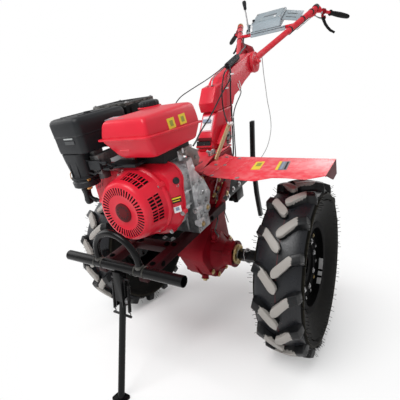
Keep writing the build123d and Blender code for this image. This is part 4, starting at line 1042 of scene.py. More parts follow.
def make_gearbox():
    """Red castings with ribs, flanges and bolts; zinc-plated axle caps; small fittings."""
    bm = from_cad("gearbox_lower")
    for vert in bm.verts:
        if vert.co.y > 95 and vert.co.z > 95:
            vert.co.y -= max(210 - vert.co.z, 0.0) * 0.7
    soften(bm, 6, 3, 32)
    for x in (-59, 59):
        for turn in CASE_BOLT_TURNS:
            at = X * x + around_axle(turn) * 102
            rod(bm, at - X * 5, at + X * 5, 12, 18)
    for side in (1, -1):
        for turn in range(20, 380, 60):
            at = around_axle(turn) * 50
            rod(bm, at + X * side * 128, at + X * side * 143, 9, 16)
        for turn in (60, 150, 240, 330):
            prism_rib(bm, X * side * 58, around_axle(turn), X * side, 86, 60, 42, 6)
        lathe(bm, [(136, 54), (136, 58), (143, 58)], (0, 0, 0), X * side, 40)
    lathe(bm, [(0, 112), (0, 119), (7, 119), (7, 112)], (-3.5, 0, 0), X, 64)
    rod(bm, (0, -60, -96), (0, -66, -112), 17, 24, 15)
    piece("gearbox_lower_skin", bm, CAST_RED, "gearbox_lower", smooth=36.0)

    bm = from_cad("gearbox_upper")
    soften(bm, 9, 3, 30)
    for z in (250, 330):
        block(bm, (70, 70, z), (8, 150, 7))
    for y in (30, 150):
        rod(bm, (66, y, 372), (76, y, 372), 13, 20)
    rod(bm, (68, 60, 300), (78, 60, 300), 34, 36)
    block(bm, (0, -14, 330), (120, 14, 130))
    piece("gearbox_upper_skin", bm, CAST_RED, "gearbox_upper", smooth=36.0)

    bm = from_cad("clutch_housing")
    soften(bm, 4, 2, 30)
    for turn in range(-90, 60, 24):
        prism_rib(bm, CRANK - Y * 98, around_crank(turn), Y, 102, 74, 70, 5)
    piece("clutch_housing_skin", bm, CAST_RED, "clutch_housing", smooth=36.0)

    bm = bmesh.new()
    for turn in (-75, -40, -5, 200, 235):
        bolt(bm, CRANK + around_crank(turn) * 96 - Y * 98, Y, 11, 7)
    for x, y, z in ((73, 20, 232), (73, 120, 232), (73, 20, 380), (73, 140, 380), (78, 60, 322),
                    (78, 80, 288), (78, 40, 288)):
        bolt(bm, (x, y, z), X, 12, 7)
    for turn in CASE_BOLT_TURNS:
        for side in (1, -1):
            bolt(bm, around_axle(turn) * 102 + X * side * 64, X * side, 12, 7)
    piece("gearbox_bolts", bm, ZINC)

    softened("axle_caps", 2.0, ZINC, 2)
    bm = bmesh.new()
    for side in (1, -1):
        for turn in range(20, 380, 60):
            bolt(bm, around_axle(turn) * 36 + X * side * 153, X * side, 9, 5)
    bolt(bm, (0, -66, -112), (0, -0.35, -1), 19, 12)
    piece("axle_cap_bolts", bm, ZINC)
    softened("pto_cover", 3.0, BLACK, 2)

    bm = bmesh.new()
    rod(bm, (70, -38, 102), (84, -38, 102), 25, 32)
    lathe(bm, [(0, 25), (3, 25), (3, 17), (6, 15)], (84, -38, 102), X, 32, caps=True)
    for turn in (90, 210, 330):
        at = Vector((66, -38, 102)) + around_axle(turn) * 26
        rod(bm, at, at + X * 18, 6, 14)
    piece("side_boss", bm, CAST_RED)

    bm = bmesh.new()
    pipe(bm, [(84, 8, 270), (92, 2, 238), (88, -10, 206), (96, -34, 176), (92, -62, 140),
              (100, -58, 118)], 3.2, 10)
    bolt(bm, (84, -38, 102), X, 13, 8)
    pipe(bm, [(72, 30, 210), (92, 34, 196), (98, 40, 150), (92, 58, 120)], 2.2, 8)
    piece("clutch_wire_lever", bm, DARK_METAL)
    softened("clutch_lever", 1.5, ZINC, 2)

    bm = bmesh.new()
    pipe(bm, [(88, 40, 352), (86, 20, 320), (84, -10, 288)], 3.0, 10)
    rod(bm, (88, 40, 352), (90, 46, 360), 5.5, 14)
    piece("clutch_push_rod", bm, STEEL)

    bm = bmesh.new()
    block(bm, (92, 26, 252), (10, 150, 26), turned("X", 38))
    soften(bm, 2.5, 2)
    piece("slanted_bar", bm, BAR_RED)

    bm = bmesh.new()
    prism(bm, [(96, 378), (142, 380), (168, 366), (170, 348), (150, 340), (112, 342)], 66, 104, "x")
    soften(bm, 7, 3)
    rod(bm, (100, 158, 344), (100, 158, 330), 8, 16)
    rod(bm, (118, 140, 360), (126, 140, 360), 12, 20)
    rod(bm, (94, 120, 340), (94, 120, 322), 5, 12)
    piece("switch_block", bm, BLACK)


def prism_rib(bm, root, outward, along, far, near, length, thick):
    """A triangular rib in the plane of two directions."""
    side = outward.cross(along).normalized() * thick / 2
    corners = [root + outward * near, root + outward * far, root + outward * (near + 4) + along * length,
               root + outward * near + along * length]
    skin(bm, [[corner - side for corner in corners], [corner + side for corner in corners]])


make_front()
make_stand_springs()
make_gearbox()

# ---- fenders, column, hitch -----------------------------------------------------------------
FENDER_TOP = 391.5
FENDER_CREASE = 120
STICKER_TURN = 8               # degrees that the fender's stickers are turned by
HITCH_TOP = 215                # the hitch beam's front is slimmed below this
SOCKET_FROM, SOCKET_TO = 376, 340     # middle of the hitch socket along Y in the CAD and here


def on_fender(x):
    """Height of the fender's upper face, which rises towards the middle from its crease on."""
    return FENDER_TOP + max(FENDER_CREASE - x, 0) * 15.5 / 43


def make_fender(name):
    """Folded sheet fender with creases, an end lip and a rear flap dark with painted shade, bolts and blank
    stickers.
    """
    side = SIDES[name]
    bm = from_cad(f"fender_{name}")
    soften(bm, 0.9, 2, 25)
    for x, low_y, high_y in ((208, -96, 132), (222, -96, 130)):
        block(bm, (side * x, (low_y + high_y) / 2, 391.6), (2.4, high_y - low_y, 1.0))
    crease = [(119, 389), (121, 389), (123, 393.6), (117, 394.2)]
    rim = [(530, 386), (533, 386), (533, 391.5), (530, 391.5)]
    for outline, low_y, high_y in ((crease, -84, 152), (rim, -61, 108)):
        prism(bm, [(side * x, z) for x, z in outline], low_y, high_y, "y")
    prism(bm, [(-58, 388), (104, 388), (104, 352), (60, 340)], side * 529, side * 530.5, "x")
    # Faces of the end lip take the dark red as painted shade.
    for face in bm.faces:
        middle = face.calc_center_median()
        face.material_index = int(side * middle.x > 529.5 and middle.z < 389)
    piece(f"fender_{name}_skin", bm, [FENDER_RED, DEEP_RED], f"fender_{name}", smooth=30.0)

    # The rear flap, a down-turned flange of the sheet, is dark cast red as painted shade.
    bm = bmesh.new()
    prism(bm, [(side * 300, 388), (side * 524, 388), (side * 524, 350), (side * 330, 350)], 100, 103, "y")
    piece(f"fender_{name}_flap", bm, CAST_RED)

    bm = bmesh.new()
    for x, y in ((132, -82), (246, -102), (96, 20), (96, 120), (152, 128), (126, 40)):
        bolt(bm, (side * x, y, on_fender(x)), Z, 9, 4)
    for x in (152, 300):
        bolt(bm, (side * x, 90, 388.6), -Z, 11, 8)
    piece(f"fender_{name}_bolts", bm, STEEL)

    bm = bmesh.new()
    turn = turned("Z", side * STICKER_TURN)
    block(bm, (side * 271, 34, 391.8), (34, 92, 1.2), turn, 0)
    block(bm, (side * 271, 44, 392.3), (18, 40, 1.2), turn, 4)
    block(bm, (side * 351, 34, 391.8), (10, 96, 1.2), turn, 0)
    block(bm, (side * 372, 33, 391.8), (30, 96, 1.2), turn, 1)
    block(bm, (side * 366, 33, 392.3), (8, 84, 1.2), turn, 2)
    block(bm, (side * 380, 33, 392.3), (6, 84, 1.2), turn, 3)
    piece(f"fender_{name}_stickers", bm, [YELLOW, STICKER_GREY, STICKER_BLUE, DARK, STICKER_OLIVE])


def make_column():
    """Gear column: plate, box and arm as pressed shells, blank label, recesses, selector and bolts."""
    softened("column_plate", 4.0, FENDER_RED, 3)
    bm = from_cad("column_box")
    soften(bm, 9.0, 4, 20)
    block(bm, (0, 121, 452), (80, 26, 8))
    piece("column_box_skin", bm, RED, "column_box", smooth=40.0)

    bm = from_cad("column_arm")
    soften(bm, 8.0, 4, 14)
    piece("column_arm_skin", bm, RED, "column_arm", smooth=40.0)

    bm = bmesh.new()
    face_tilt = degrees(atan2(68, 85))
    place = turned("X", -face_tilt)
    centre = Vector((0, 168, 540))
    outward = around_axle(180 - face_tilt)
    block(bm, centre + outward * 0.6, (58, 2.0, 78), place, 0)
    block(bm, centre + outward * 1.2, (50, 2.0, 66), place, 1)
    block(bm, centre + outward * 1.7 + Z * 12, (40, 2.0, 16), place, 2)
    block(bm, centre + outward * 1.7 - Z * 18, (44, 2.0, 10), place, 3)
    piece("column_label", bm, [STICKER_PINK, WHITE, STICKER_BLUE, STICKER_GREY])

    bm = bmesh.new()
    # Near-black slot and dark red strip on the column box: painted shade for its recesses.
    block(bm, (-4, 114.6, 460), (68, 5.0, 30), turned("X", -20), 0)
    block(bm, (0, 117.5, 483), (76, 4.0, 12), turned("X", -24), 1)
    block(bm, (2, 111.6, 464), (4, 2.0, 4), material=2)
    for x in (-9, 17):
        rod(bm, (x, 240, 686.2), (x, 240.4, 689.6), 4.2, 16)
    rod(bm, (8, 245, 684), (8, 245, 690.6), 5.4, 18)
    piece("column_recesses", bm, [DARK, DEEP_RED, STEEL])

    bm = bmesh.new()
    prism(bm, [(150, 452), (196, 492), (246, 520), (258, 470), (240, 432), (176, 431)], 38, 66, "x")
    soften(bm, 4, 2)
    piece("selector_block", bm, RED)
    bm = bmesh.new()
    for y, z in ((206, 482), (230, 504), (236, 462), (208, 446)):
        bolt(bm, (66, y, z), X, 12, 9)
    block(bm, (72, 214, 470), (8, 44, 10), turned("X", degrees(0.8)))
    piece("selector_bolts", bm, DARK_METAL)

    bm = bmesh.new()
    prism(bm, [(206, 525), (226, 520), (228, 512), (66, 402), (54, 404), (50, 412)], 78, 81, "x")
    prism(bm, [(206, 525), (202, 527), (46, 416), (50, 412)], 78, 84, "x")
    soften(bm, 0.9, 2)
    rod(bm, (66, 150, 462), (79, 150, 462), 6, 20)
    bolt(bm, (81, 216, 516), X, 9, 6)
    piece("selector_arm_skin", bm, ARM_GOLD, "selector_arm")

    bm = bmesh.new()
    rod(bm, (81, 208, 519), (81, 209, 533), 5.0, 14)
    rod(bm, (78, 220, 514), (90, 226, 524), 4.5, 14)
    block(bm, (84, 232, 520), (14, 16, 12), turned("X", degrees(0.4)))
    soften(bm, 1.2, 2)
    piece("cable_connector", bm, WHITE)

    bm = bmesh.new()
    for y, z in ((60, 445), (86, 433)):
        rod(bm, (56, y, 428), (56, y, 442), 10, 20)
        bolt(bm, (56, y, 440), Z, 14, 9)
    pipe(bm, [(56, 66, 440), (48, 50, 450), (52, 40, 446)], 3.4, 10)
    for x in (-56, 56):
        for y in (140, 214):
            bolt(bm, (x, y, 428), Z, 13, 8)
    piece("plate_bolts", bm, STEEL)


def make_hitch():
    """Hitch beam slimmed at its front, slimmer socket, depth stake and their bolts."""
    bm = from_cad("hitch_beam")
    for vert in bm.verts:
        below = HITCH_TOP - vert.co.z
        if vert.co.y < 152 and below > 0:
            vert.co.z = HITCH_TOP - below * 0.45
            vert.co.y -= below * 0.225
    soften(bm, 4.0, 3)
    piece("hitch_beam_skin", bm, BLACK, "hitch_beam")
    bm = from_cad("hitch_socket")
    for vert in bm.verts:
        vert.co.y = SOCKET_TO + (vert.co.y - SOCKET_FROM) * 0.55
        vert.co.x *= 0.8
    soften(bm, 3.0, 2)
    piece("hitch_socket_skin", bm, BLACK, "hitch_socket")
    bm = from_cad("depth_stake")
    for vert in bm.verts:
        vert.co.x *= 1.5
    soften(bm, 2.2, 2)
    piece("depth_stake_skin", bm, BLACK, "depth_stake")
    bm = bmesh.new()
    for y, z in ((210, 176), (270, 190), (340, 190), (420, 190)):
        for side in (1, -1):
            bolt(bm, (side * 26, y, z), X * side, 15, 9)
    rod(bm, (-40, 600, 190), (40, 600, 190), 6, 16)
    bolt(bm, (38, 600, 190), X, 15, 9)
    bolt(bm, (-38, 600, 190), -X, 15, 9)
    piece("hitch_bolts", bm, STEEL)


for wheel in SIDES:
    make_fender(wheel)
make_column()
make_hitch()

# ---- handlebar ------------------------------------------------------------------------------
CLAMP = Vector((0, 668, 750))
BEND = Vector((245, 1211, 980))
HANDLE_END = Vector((396, 1349, 912))
HANDLE_START = Vector((55, 695, 772.5))
GRIP_WAY = (HANDLE_END - BEND).normalized()
TUBE_WAY = (BEND - HANDLE_START).normalized()
CLAMP_TEETH = 40
GRIP_RINGS = 9
PIPE_DROP = Z * 12             # how far the grips' pipes lie below the tubes' own line


def across_x(point, side):
    """A point of the left side, or its mirror image on the right."""
    return Vector((point[0] * side, point[1], point[2]))


def on_tube(share, side):
    """A point on a tube's line, as a share of the way from the clamp to the bend."""
    return across_x(HANDLE_START + (BEND - HANDLE_START) * share, side)


def make_clamp():
    """Handlebar cut off above its bend: toothed discs, clamp bolt, weld collars and a gusset."""
    bm = from_cad("handlebar")
    for side in (1, -1):
        disc = [(38.6, 46), (38.6, 50.4), (41, 51.4), (46, 51.4), (47, 50.2), (50, 50.2), (53.4, 47),
                (53.6, 40), (53.6, 24), (56, 23), (56, 12)]
        lathe(bm, disc, CLAMP, X * side, 64)
        for i in range(CLAMP_TEETH):
            tooth = CLAMP + around_axle(360 * i / CLAMP_TEETH) * 50
            rod(bm, tooth + X * side * 39, tooth + X * side * 46.5, 2.6, 6)
        start = across_x(HANDLE_START, side)
        way = across_x(TUBE_WAY, side)
        rod(bm, start - way * 50, start + way * 46, 17.5, 28, 17.0)
        rod(bm, start - way * 52, start - way * 47, 15.0, 28)
    everything = bm.verts[:] + bm.edges[:] + bm.faces[:]
    bmesh.ops.bisect_plane(bm, geom=everything, dist=0.01, plane_co=BEND + Z * 2,
                           plane_no=(0, TUBE_WAY.y, TUBE_WAY.z), clear_outer=True)
    piece("handlebar_skin", bm, HANDLE_RED, "handlebar", body="handlebar", smooth=40.0)

    bm = bmesh.new()
    for side in (1, -1):
        rod(bm, CLAMP + X * side * 55, CLAMP + X * side * 59, 19, 32)
        bolt(bm, CLAMP + X * side * 59, X * side, 24, 13)
    rod(bm, CLAMP + X * 60, CLAMP + X * 79, 7.2, 20)
    piece("clamp_bolt", bm, HANDLE_RED, body="handlebar")

    bm = bmesh.new()
    outline = (on_tube(0.10, -1), on_tube(0.50, -1), Vector((30, 690, 826)), Vector((46, 672, 802)))
    for depth in (0, 9):
        corners = [corner + Y * depth for corner in outline]
        skin(bm, [corners, [corner + Y * 4 for corner in corners]])
    bolt(bm, (-12, 700, 808), -Y, 12, 7)
    piece("clamp_gusset", bm, CAST_RED, body="handlebar")


def make_handles():
    """Grips on thin pipes below the capped tubes, hand levers with brackets, clips and cables."""
    for name, side in SIDES.items():
        way, tube, knee = across_x(GRIP_WAY, side), across_x(TUBE_WAY, side), across_x(BEND, side)
        end = across_x(HANDLE_END, side) - PIPE_DROP
        root = knee + way * 40 - PIPE_DROP
        profile = [(-128, 11), (-128, 15), (-124, 17), (-119, 17), (-116, 14), (-110, 13)]
        for i in range(GRIP_RINGS):
            at = -104 + 11 * i
            swell = 13.0 + 2.6 * sin(pi * (i + 0.5) / GRIP_RINGS)
            profile += [(at, swell), (at + 7.5, swell), (at + 8.4, swell - 0.9), (at + 10.2, swell - 0.9)]
        profile += [(-3, 11.6), (2, 10.2), (5, 8), (6.2, 5)]
        bm = bmesh.new()
        lathe(bm, profile, end, way, 40, caps=True)
        piece(f"grip_{name}", bm, RUBBER, "hand_grips" if side == 1 else (), body="handlebar",
              smooth=28.0)

        bm = bmesh.new()
        line = [knee - tube * 82 - Z * 14, knee - tube * 56 - Z * 22, knee - tube * 24 - Z * 24,
                knee - Z * 20, root, end - way * 120]
        pipe(bm, line, 9.5, 20)
        piece(f"grip_pipe_{name}", bm, HANDLE_RED, body="handlebar")
        bm = bmesh.new()
        lathe(bm, [(-14, 15.5), (-14, 19.5), (6, 19.5), (9, 18), (9.4, 6)], knee, tube, 32, caps=True)
        # The left cap is black as painted shade; the right one shows the caps' brass.
        piece(f"tube_cap_{name}", bm, SATIN_BLACK if side == 1 else BRASS,
              body="handlebar")

        bm = bmesh.new()
        lathe(bm, [(-3, 10.4), (-3, 15), (-1, 16.5), (15, 16.5), (17, 15), (17, 10.4)], root, way, 32)
        block(bm, root - Z * 30, (13, 18, 26))
        block(bm, root + Vector((4 * side, 8, -36)), (24, 6, 20))
        soften(bm, 1.6, 2)
        piece(f"lever_bracket_{name}", bm, CAST_RED, "hand_levers" if side == 1 else (),
              body="handlebar", smooth=35.0)

        bm = bmesh.new()
        bolt(bm, root + Vector((8 * side, 12, -36)), Y, 10, 6)
        bolt(bm, root + Vector((0, -8, -6)), -Y, 9, 6)
        piece(f"lever_bolts_{name}", bm, STEEL, body="handlebar")

        bm = bmesh.new()
        sweep = [(2, -2, -34), (7, -3, -52), (14, -2, -72), (26, 0, -94), (41, 4, -114), (60, 10, -128)]
        points = [root + across_x(offset, side) for offset in sweep]
        pipe(bm, points, [9.5, 9.0, 8.6, 8.2, 7.6, 6.4], 14)
        last = points[-1] - points[-2]
        rod(bm, points[-1] - last * 0.1, points[-1] + last * 0.14, 7, 16)
        piece(f"hand_lever_{name}", bm, BLACK, body="handlebar")

        bm = bmesh.new()
        for share in (0.52, 0.74, 0.90):
            at = on_tube(share, side)
            lathe(bm, [(-5, 16.3), (-5, 17.8), (5, 17.8), (5, 16.3)], at, tube, 28)
            block(bm, at - Z * 19, (9, 9, 9))
        piece(f"cable_clips_{name}", bm, SATIN_BLACK, body="handlebar")

        run = [on_tube(share, side) - Z * 20.5 for share in (0.50, 0.62, 0.74, 0.86, 0.94)]
        run += [root + across_x((-22, -30, -30), side), root + across_x((-6, -8, -36), side)]
        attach(lay_cable(f"handle_cable_{name}", run, 5.2, CABLE_BLACK), "handlebar")
        if side == 1:
            light = [point + Vector((4, 2, -6)) for point in run[1:]]
            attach(lay_cable("handle_cable_light", light, 4.0, CABLE_GREY), "handlebar")


def spline_mesh(name, points, radius):
    """A round tube whose line is a NURBS spline with these points as its control points."""
    data = bpy.data.curves.new(name, "CURVE")
    data.dimensions = "3D"
    data.resolution_u = 10
    data.bevel_depth = radius
    data.bevel_resolution = 3
    data.use_fill_caps = True
    spline = data.splines.new("NURBS")
    spline.points.add(len(points) - 1)
    for control, point in zip(spline.points, points):
        control.co = (*point, 1.0)
    spline.order_u = 3
    spline.use_endpoint_u = True
    laid = add_object(name + "_route", data)
    bpy.context.view_layer.update()
    ready = laid.evaluated_get(bpy.context.evaluated_depsgraph_get())
    mesh = bpy.data.meshes.new_from_object(ready)
    bpy.data.objects.remove(laid)
    mesh.materials.clear()
    mesh.shade_smooth()
    return mesh


def lay_cable(name, points, diameter, material):
    """A cable along control points of the machine frame; it still needs the body that it rides on."""
    mesh = spline_mesh(name, [MACHINE @ Vector(point) for point in points], diameter * MM / 2)
    mesh.materials.append(material)
    made = add_object(name, mesh)
    return made


def make_panel():
    """Plain grey control panel with blank fields, screws and a throttle knob; shelf beside it."""
    outline = [(985, 912.3), (1008, 958), (1135, 1020), (1155, 975), (1010, 912.3)]
    right_end, left_end = -92, 94
    bm = bmesh.new()
    prism(bm, outline, right_end, left_end, "x")
    soften(bm, 7, 4, 20)
    # The flat left end face takes the darker grey as painted shade.
    for face in bm.faces:
        face.material_index = int(face.calc_center_median().x > left_end - 0.01)
    slope = degrees(atan2(1020 - 958, 1135 - 1008))
    top, back, up = turned("X", slope), around_axle(slope), around_axle(slope + 90)
    middle = Vector((0, 1071.5, 989))
    front_tilt = degrees(atan2(1008 - 985, 958 - 912.3))
    face, outward = Vector((0, 996.5, 935)), around_axle(180 - front_tilt)
    block(bm, middle + X * 20 + up * 0.4, (128, 112, 2.4), top, 0)
    block(bm, middle + X * 14 - back * 6 + up * 1.2, (80, 16, 2.4), top, 1)
    block(bm, middle + X * 14 - back * 6 + up * 1.8, (70, 7, 2.4), top, 2)
    block(bm, face - X * 84 + outward * 0.4, (14, 2.6, 40), turned("X", -front_tilt), 3)
    rod(bm, middle + X * 52 - back * 38, middle + X * 52 - back * 38 + up * 5, 7, 20, material=5)
    for x in (-82, 84):
        for along in (-52, 52):
            bolt(bm, middle + X * x + back * along + up * 0.5, up, 8, 4, material=6)
    piece("control_panel_skin", bm, [GREY, GREY_SHADE, STICKER_GREY, ALUMINIUM, DARK, WHITE, STEEL],
          "control_panel", body="handlebar", smooth=35.0)

    bm = bmesh.new()
    knob = middle - X * 84 - back * 30
    rod(bm, knob, knob + up * 9, 8, 24, 7)
    soften(bm, 1.2, 2)
    piece("throttle_knob", bm, SATIN_BLACK, body="handlebar")

    bm = bmesh.new()
    ramp = top @ turned("Y", degrees(0.3))
    block(bm, middle + X * 140 - up * 32, (106, 124, 3.0), ramp, 0)
    # Two near-black strips on the shelf are painted shade.
    for along in (-26, 18):
        block(bm, middle + X * 136 - up * 30.4 + back * along, (62, 9, 3.0), ramp, 1)
    block(bm, (18, 1006, 906), (210, 62, 3.0))
    block(bm, (18, 980, 898), (210, 3.0, 28), turned("X", degrees(-0.35)), 0)
    block(bm, (-102, 1012, 930), (3.0, 46, 62))
    soften(bm, 0.8, 2)
    piece("panel_shelf", bm, [GREY, DARK], body="handlebar")


def make_gear_lever():
    """Bent steel rod with a black pear-shaped knob and a rubber foot."""
    x = -108.0
    bm = bmesh.new()
    bends = [(x, 1000, 922), (x, 1001.5, 945), (x, 1002.6, 962), (x, 1002.6, 974), (x, 1000, 992),
             (x, 996, 1018), (x, 992, 1046)]
    pipe(bm, bends, 4.5, 16)
    for z in (962, 1036):
        rod(bm, (x, 1002 - (z - 962) * 0.12, z), (x, 1001 - (z - 962) * 0.12, z + 7), 6.0, 16)
    block(bm, (x, 1000, 917.8), (22, 24, 11))
    piece("gear_lever_rod", bm, STEEL, "gear_lever", body="handlebar", smooth=50.0)
    bm = bmesh.new()
    profile = [(-4, 5), (-2, 8), (4, 9), (14, 9.4), (24, 11), (34, 12.0), (41, 10.5), (45, 7), (46, 3)]
    lathe(bm, profile, (x, 992, 1046), (0, -0.16, 1), 28, caps=True)
    rod(bm, (x, 1000, 921), (x, 1000.4, 936), 13, 24, 7)
    piece("gear_lever_knob", bm, SATIN_BLACK, body="handlebar", smooth=50.0)


make_clamp()
make_handles()
make_panel()
make_gear_lever()

# ---- control cables -------------------------------------------------------------------------
SLEEVE_FRONT, SLEEVE_REAR = Vector((23, 388, 757)), Vector((23, 508, 788.2))
SLEEVE_WAY = (SLEEVE_REAR - SLEEVE_FRONT).normalized()
SLEEVE_LIFT = X.cross(SLEEVE_WAY)


def at_sleeve(sideways, lift):
    """Where a cable leaves the sleeve's front face."""
    return SLEEVE_FRONT + X * sideways + SLEEVE_LIFT * lift + SLEEVE_WAY * 1.5


CABLES = {                        # control points in the machine frame, then diameter and material
    "cable_throttle": ([at_sleeve(9, 3), (47, 370, 751), (58, 341, 704), (58, 240, 658), (60, 165, 616),
                        (67, 83, 580), (80, -23, 550), (98, -96, 526), (104.5, -128, 521)],
                       6.0, CABLE_BLACK),
    "cable_choke": ([at_sleeve(-1, 9), (16, 255, 730), (2, 80, 698), (-2, -30, 676), (-20, -78, 600),
                     (-40, -104, 512), (-40, -200.7, 505)], 4.0, CABLE_BLACK),
    "shift_rod": ([at_sleeve(-8, 1), (12, 330, 741), (8, 250, 718), (8, 245, 687)], 5.0, STEEL),
    "cable_clutch": ([at_sleeve(9, -7), (42, 374, 745), (50, 352, 706), (50, 326, 630), (54, 308, 545),
                      (66, 272, 486), (75, 243, 437), (79, 222, 381), (78, 180, 328), (75, 111, 296.5),
                      (75, 18.95, 272.8)], 7.0, CABLE_BLACK),
    "cable_selector": ([at_sleeve(1, -8.5), (38, 352, 742), (49, 300, 736), (50, 262, 690), (50, 241, 632),
                        (53, 234, 578), (72, 210, 546), (81, 208, 518.5)], 6.0, CABLE_BLACK),
    "cable_brake": ([(24, 492, 650.7), (24, 496.7, 639.8), (38, 476, 630), (49, 440, 618), (49, 392, 592),
                     (52, 340, 560), (57, 312, 528), (68, 284, 486), (77, 256, 440), (82, 238, 385),
                     (86, 222, 348), (83, 216, 326), (70.4, 216, 326)], 5.0, CABLE_BLACK),
    "cable_slack": ([(66, 728, 766.8), (70, 718, 730), (70, 717, 680), (70, 728, 610), (70, 733, 535),
                     (70, 756, 470), (70, 762, 400), (70, 736, 345), (70, 670, 290), (66, 585, 258),
                     (56, 510, 240), (50, 446, 210), (40, 425, 200), (26.6, 425, 200)], 4.0, CABLE_GREY),
    "cable_crossing": ([SLEEVE_REAR - SLEEVE_WAY * 2, (14, 585, 812), (0, 660, 826), (-24, 740, 838),
                        (-60, 810, 846)], 10.0, CABLE_BLACK),
    "cable_riser": ([(-60, 810, 846), (-94, 876, 854), (-118, 930, 876), (-135, 985, 895)], 10.0,
                    CABLE_BLACK),
}
HELD_AT = {"cable_crossing": (0, -1), "cable_slack": (-3, 0)}   # points at chassis and handlebar


def make_cables():
    """Every control cable on its own smooth spline, the split sleeve that gathers them, and ties."""
    for name, (points, diameter, material) in CABLES.items():
        made = lay_cable(name + "_skin", points, diameter, material)
        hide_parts(name)
        if name in HELD_AT:
            start, end = [MACHINE @ Vector(points[index]) for index in HELD_AT[name]]
            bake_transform(made)
            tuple(start)
            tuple(end)
        else:
            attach(made, "handlebar" if name == "cable_riser" else "chassis")

    bm = bmesh.new()
    length = (SLEEVE_REAR - SLEEVE_FRONT).length
    profile = [(0, 5), (0, 13.4), (1.5, 14.8)]
    for i in range(14):
        at = 6 + i * (length - 14) / 14
        profile += [(at, 15.0), (at + 4.6, 15.0), (at + 5.4, 14.0), (at + 7.2, 14.0)]
    profile += [(length - 1.5, 14.8), (length, 13.4), (length, 5)]
    lathe(bm, profile, SLEEVE_FRONT, SLEEVE_WAY, 32, caps=True)
    # A near-black strip along the top shows the sleeve's split as painted shade.
    block(bm, (SLEEVE_FRONT + SLEEVE_REAR) / 2 + SLEEVE_LIFT * 14.2, (2.2, length * 0.96, 1.6),
          turned("X", degrees(atan2(SLEEVE_WAY.z, SLEEVE_WAY.y))), 1)
    piece("cable_sleeve_skin", bm, [SATIN_BLACK, DARK], "cable_sleeve", smooth=35.0)

    bm = bmesh.new()
    for at in ((66, 340, 722), (50, 300, 668), (56, 306, 536)):
        rod(bm, Vector(at) - Z * 3, Vector(at) + Z * 3, 8, 18)
    for y, z in ((452, 652), (470, 662)):
        block(bm, (38.6, y, z), (4, 5, 42), turned("X", degrees(0.4)))
    piece("cable_ties", bm, WHITE)


make_cables()

# ---- stage ----------------------------------------------------------------------------------
FLOOR_RADIUS = 40.0            # metres, like all that follows
FLOOR_DROP = 0.0005            # keeps the floor clear of the feet
FLOOR_COLOUR = (0.94, 0.94, 0.94)
FADE = (0.35, 1.05)            # from the middle: where the floor starts to turn white, and where it is
WORLD_LIGHT = 0.55
MIDDLE = (0, 0, 0.75)


def make_floor():
    """A pale floor that runs out to plain white for the camera."""
    bm = bmesh.new()
    bmesh.ops.create_circle(bm, cap_ends=True, segments=96, radius=FLOOR_RADIUS)
    mesh = bpy.data.meshes.new("floor")
    bm.to_mesh(mesh)
    bm.free()
    floor = add_object("floor", mesh)
    floor.location.z = -FLOOR_DROP
    ground = bpy.data.materials.new("pale_floor")
    ground.use_nodes = True
    tree = ground.node_tree
    shader = tree.nodes["Principled BSDF"]
    for socket, value in (("Base Color", FLOOR_COLOUR), ("Roughness", 0.9), ("Specular IOR Level", 0.1)):
        feed(tree, shader.inputs[socket], value)
    place = add_node(tree, "TexCoord", "Object")
    reach = add_node(tree, "VectorMath", "Value", {0: place}, operation="LENGTH")
    fade_inputs = {"Value": reach, "From Min": FADE[0], "From Max": FADE[1]}
    fade = add_node(tree, "MapRange", "Result", fade_inputs)
    seen = add_node(tree, "LightPath", "Is Camera Ray")
    factor = add_node(tree, "Math", "Value", {0: fade, 1: seen}, operation="MULTIPLY")
    glow = add_node(tree, "Emission", "Emission", {"Strength": 1.0})
    mix = add_node(tree, "MixShader", "Shader", {"Fac": factor, 1: shader.outputs["BSDF"], 2: glow})
    feed(tree, tree.nodes["Material Output"].inputs["Surface"], mix)
    mesh.materials.append(ground)


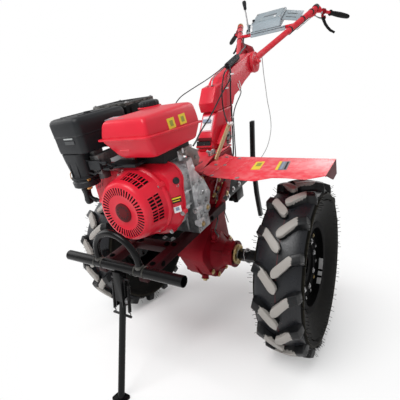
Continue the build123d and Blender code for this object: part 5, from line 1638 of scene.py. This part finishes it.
def make_world():
    """A white world, dimmer as a lamp than it looks to the camera."""
    world = bpy.data.worlds.new("studio")
    bpy.context.scene.world = world
    world.use_nodes = True
    tree = world.node_tree
    background = tree.nodes["Background"]
    seen = add_node(tree, "LightPath", "Is Camera Ray")
    strength = add_node(tree, "MapRange", "Result", {"Value": seen, "To Min": WORLD_LIGHT, "To Max": 1.0})
    feed(tree, background.inputs["Color"], (1.0, 1.0, 1.0))
    feed(tree, background.inputs["Strength"], strength)


def add_lamp(name, at, aim, size, power):
    """A square soft lamp at a place, turned to a point."""
    data = bpy.data.lights.new(name, "AREA")
    data.shape = "SQUARE"
    data.size = size
    data.energy = power
    lamp = add_object(name, data)
    lamp.location = at
    lamp.rotation_euler = (Vector(aim) - Vector(at)).to_track_quat("-Z", "Y").to_euler()


make_floor()
make_world()
add_lamp("key", (-0.2, -3.1, 3.5), MIDDLE, 2.2, 120)
add_lamp("fill", (-3.2, -1.2, 2.0), MIDDLE, 2.4, 40)
add_lamp("rear", (0.8, 3.0, 3.0), MIDDLE, 2.2, 45)

# ---- camera ---------------------------------------------------------------------------------
CAMERA_AT = Vector((0.7477, AXLE[1] - 1.2373, 0.8139))
YAW, PITCH, ROLL = -0.593, 0.155, -0.0468
FOCAL_WIDTHS = 0.8185                # focal length as a share of the frame's width
SENSOR = 36.0
SHIFT_X, SHIFT_Y = 0.0243, -0.0141

ahead = Vector((sin(YAW) * cos(PITCH), cos(YAW) * cos(PITCH), -sin(PITCH)))
level_right = ahead.cross(Z).normalized()
level_up = level_right.cross(ahead)
right = level_right * cos(ROLL) + level_up * sin(ROLL)
up = level_up * cos(ROLL) - level_right * sin(ROLL)
camera_data = bpy.data.cameras.new("camera")
camera_data.sensor_width = SENSOR
camera_data.lens = SENSOR * FOCAL_WIDTHS
camera_data.shift_x = SHIFT_X
camera_data.shift_y = SHIFT_Y
camera_data.clip_start = 0.05
camera = add_object("camera", camera_data)
camera.matrix_world = Matrix((
    (right.x, up.x, -ahead.x, CAMERA_AT.x),
    (right.y, up.y, -ahead.y, CAMERA_AT.y),
    (right.z, up.z, -ahead.z, CAMERA_AT.z),
    (0, 0, 0, 1),
))
bpy.context.scene.camera = camera
bpy.context.scene.view_settings.view_transform = "Standard"
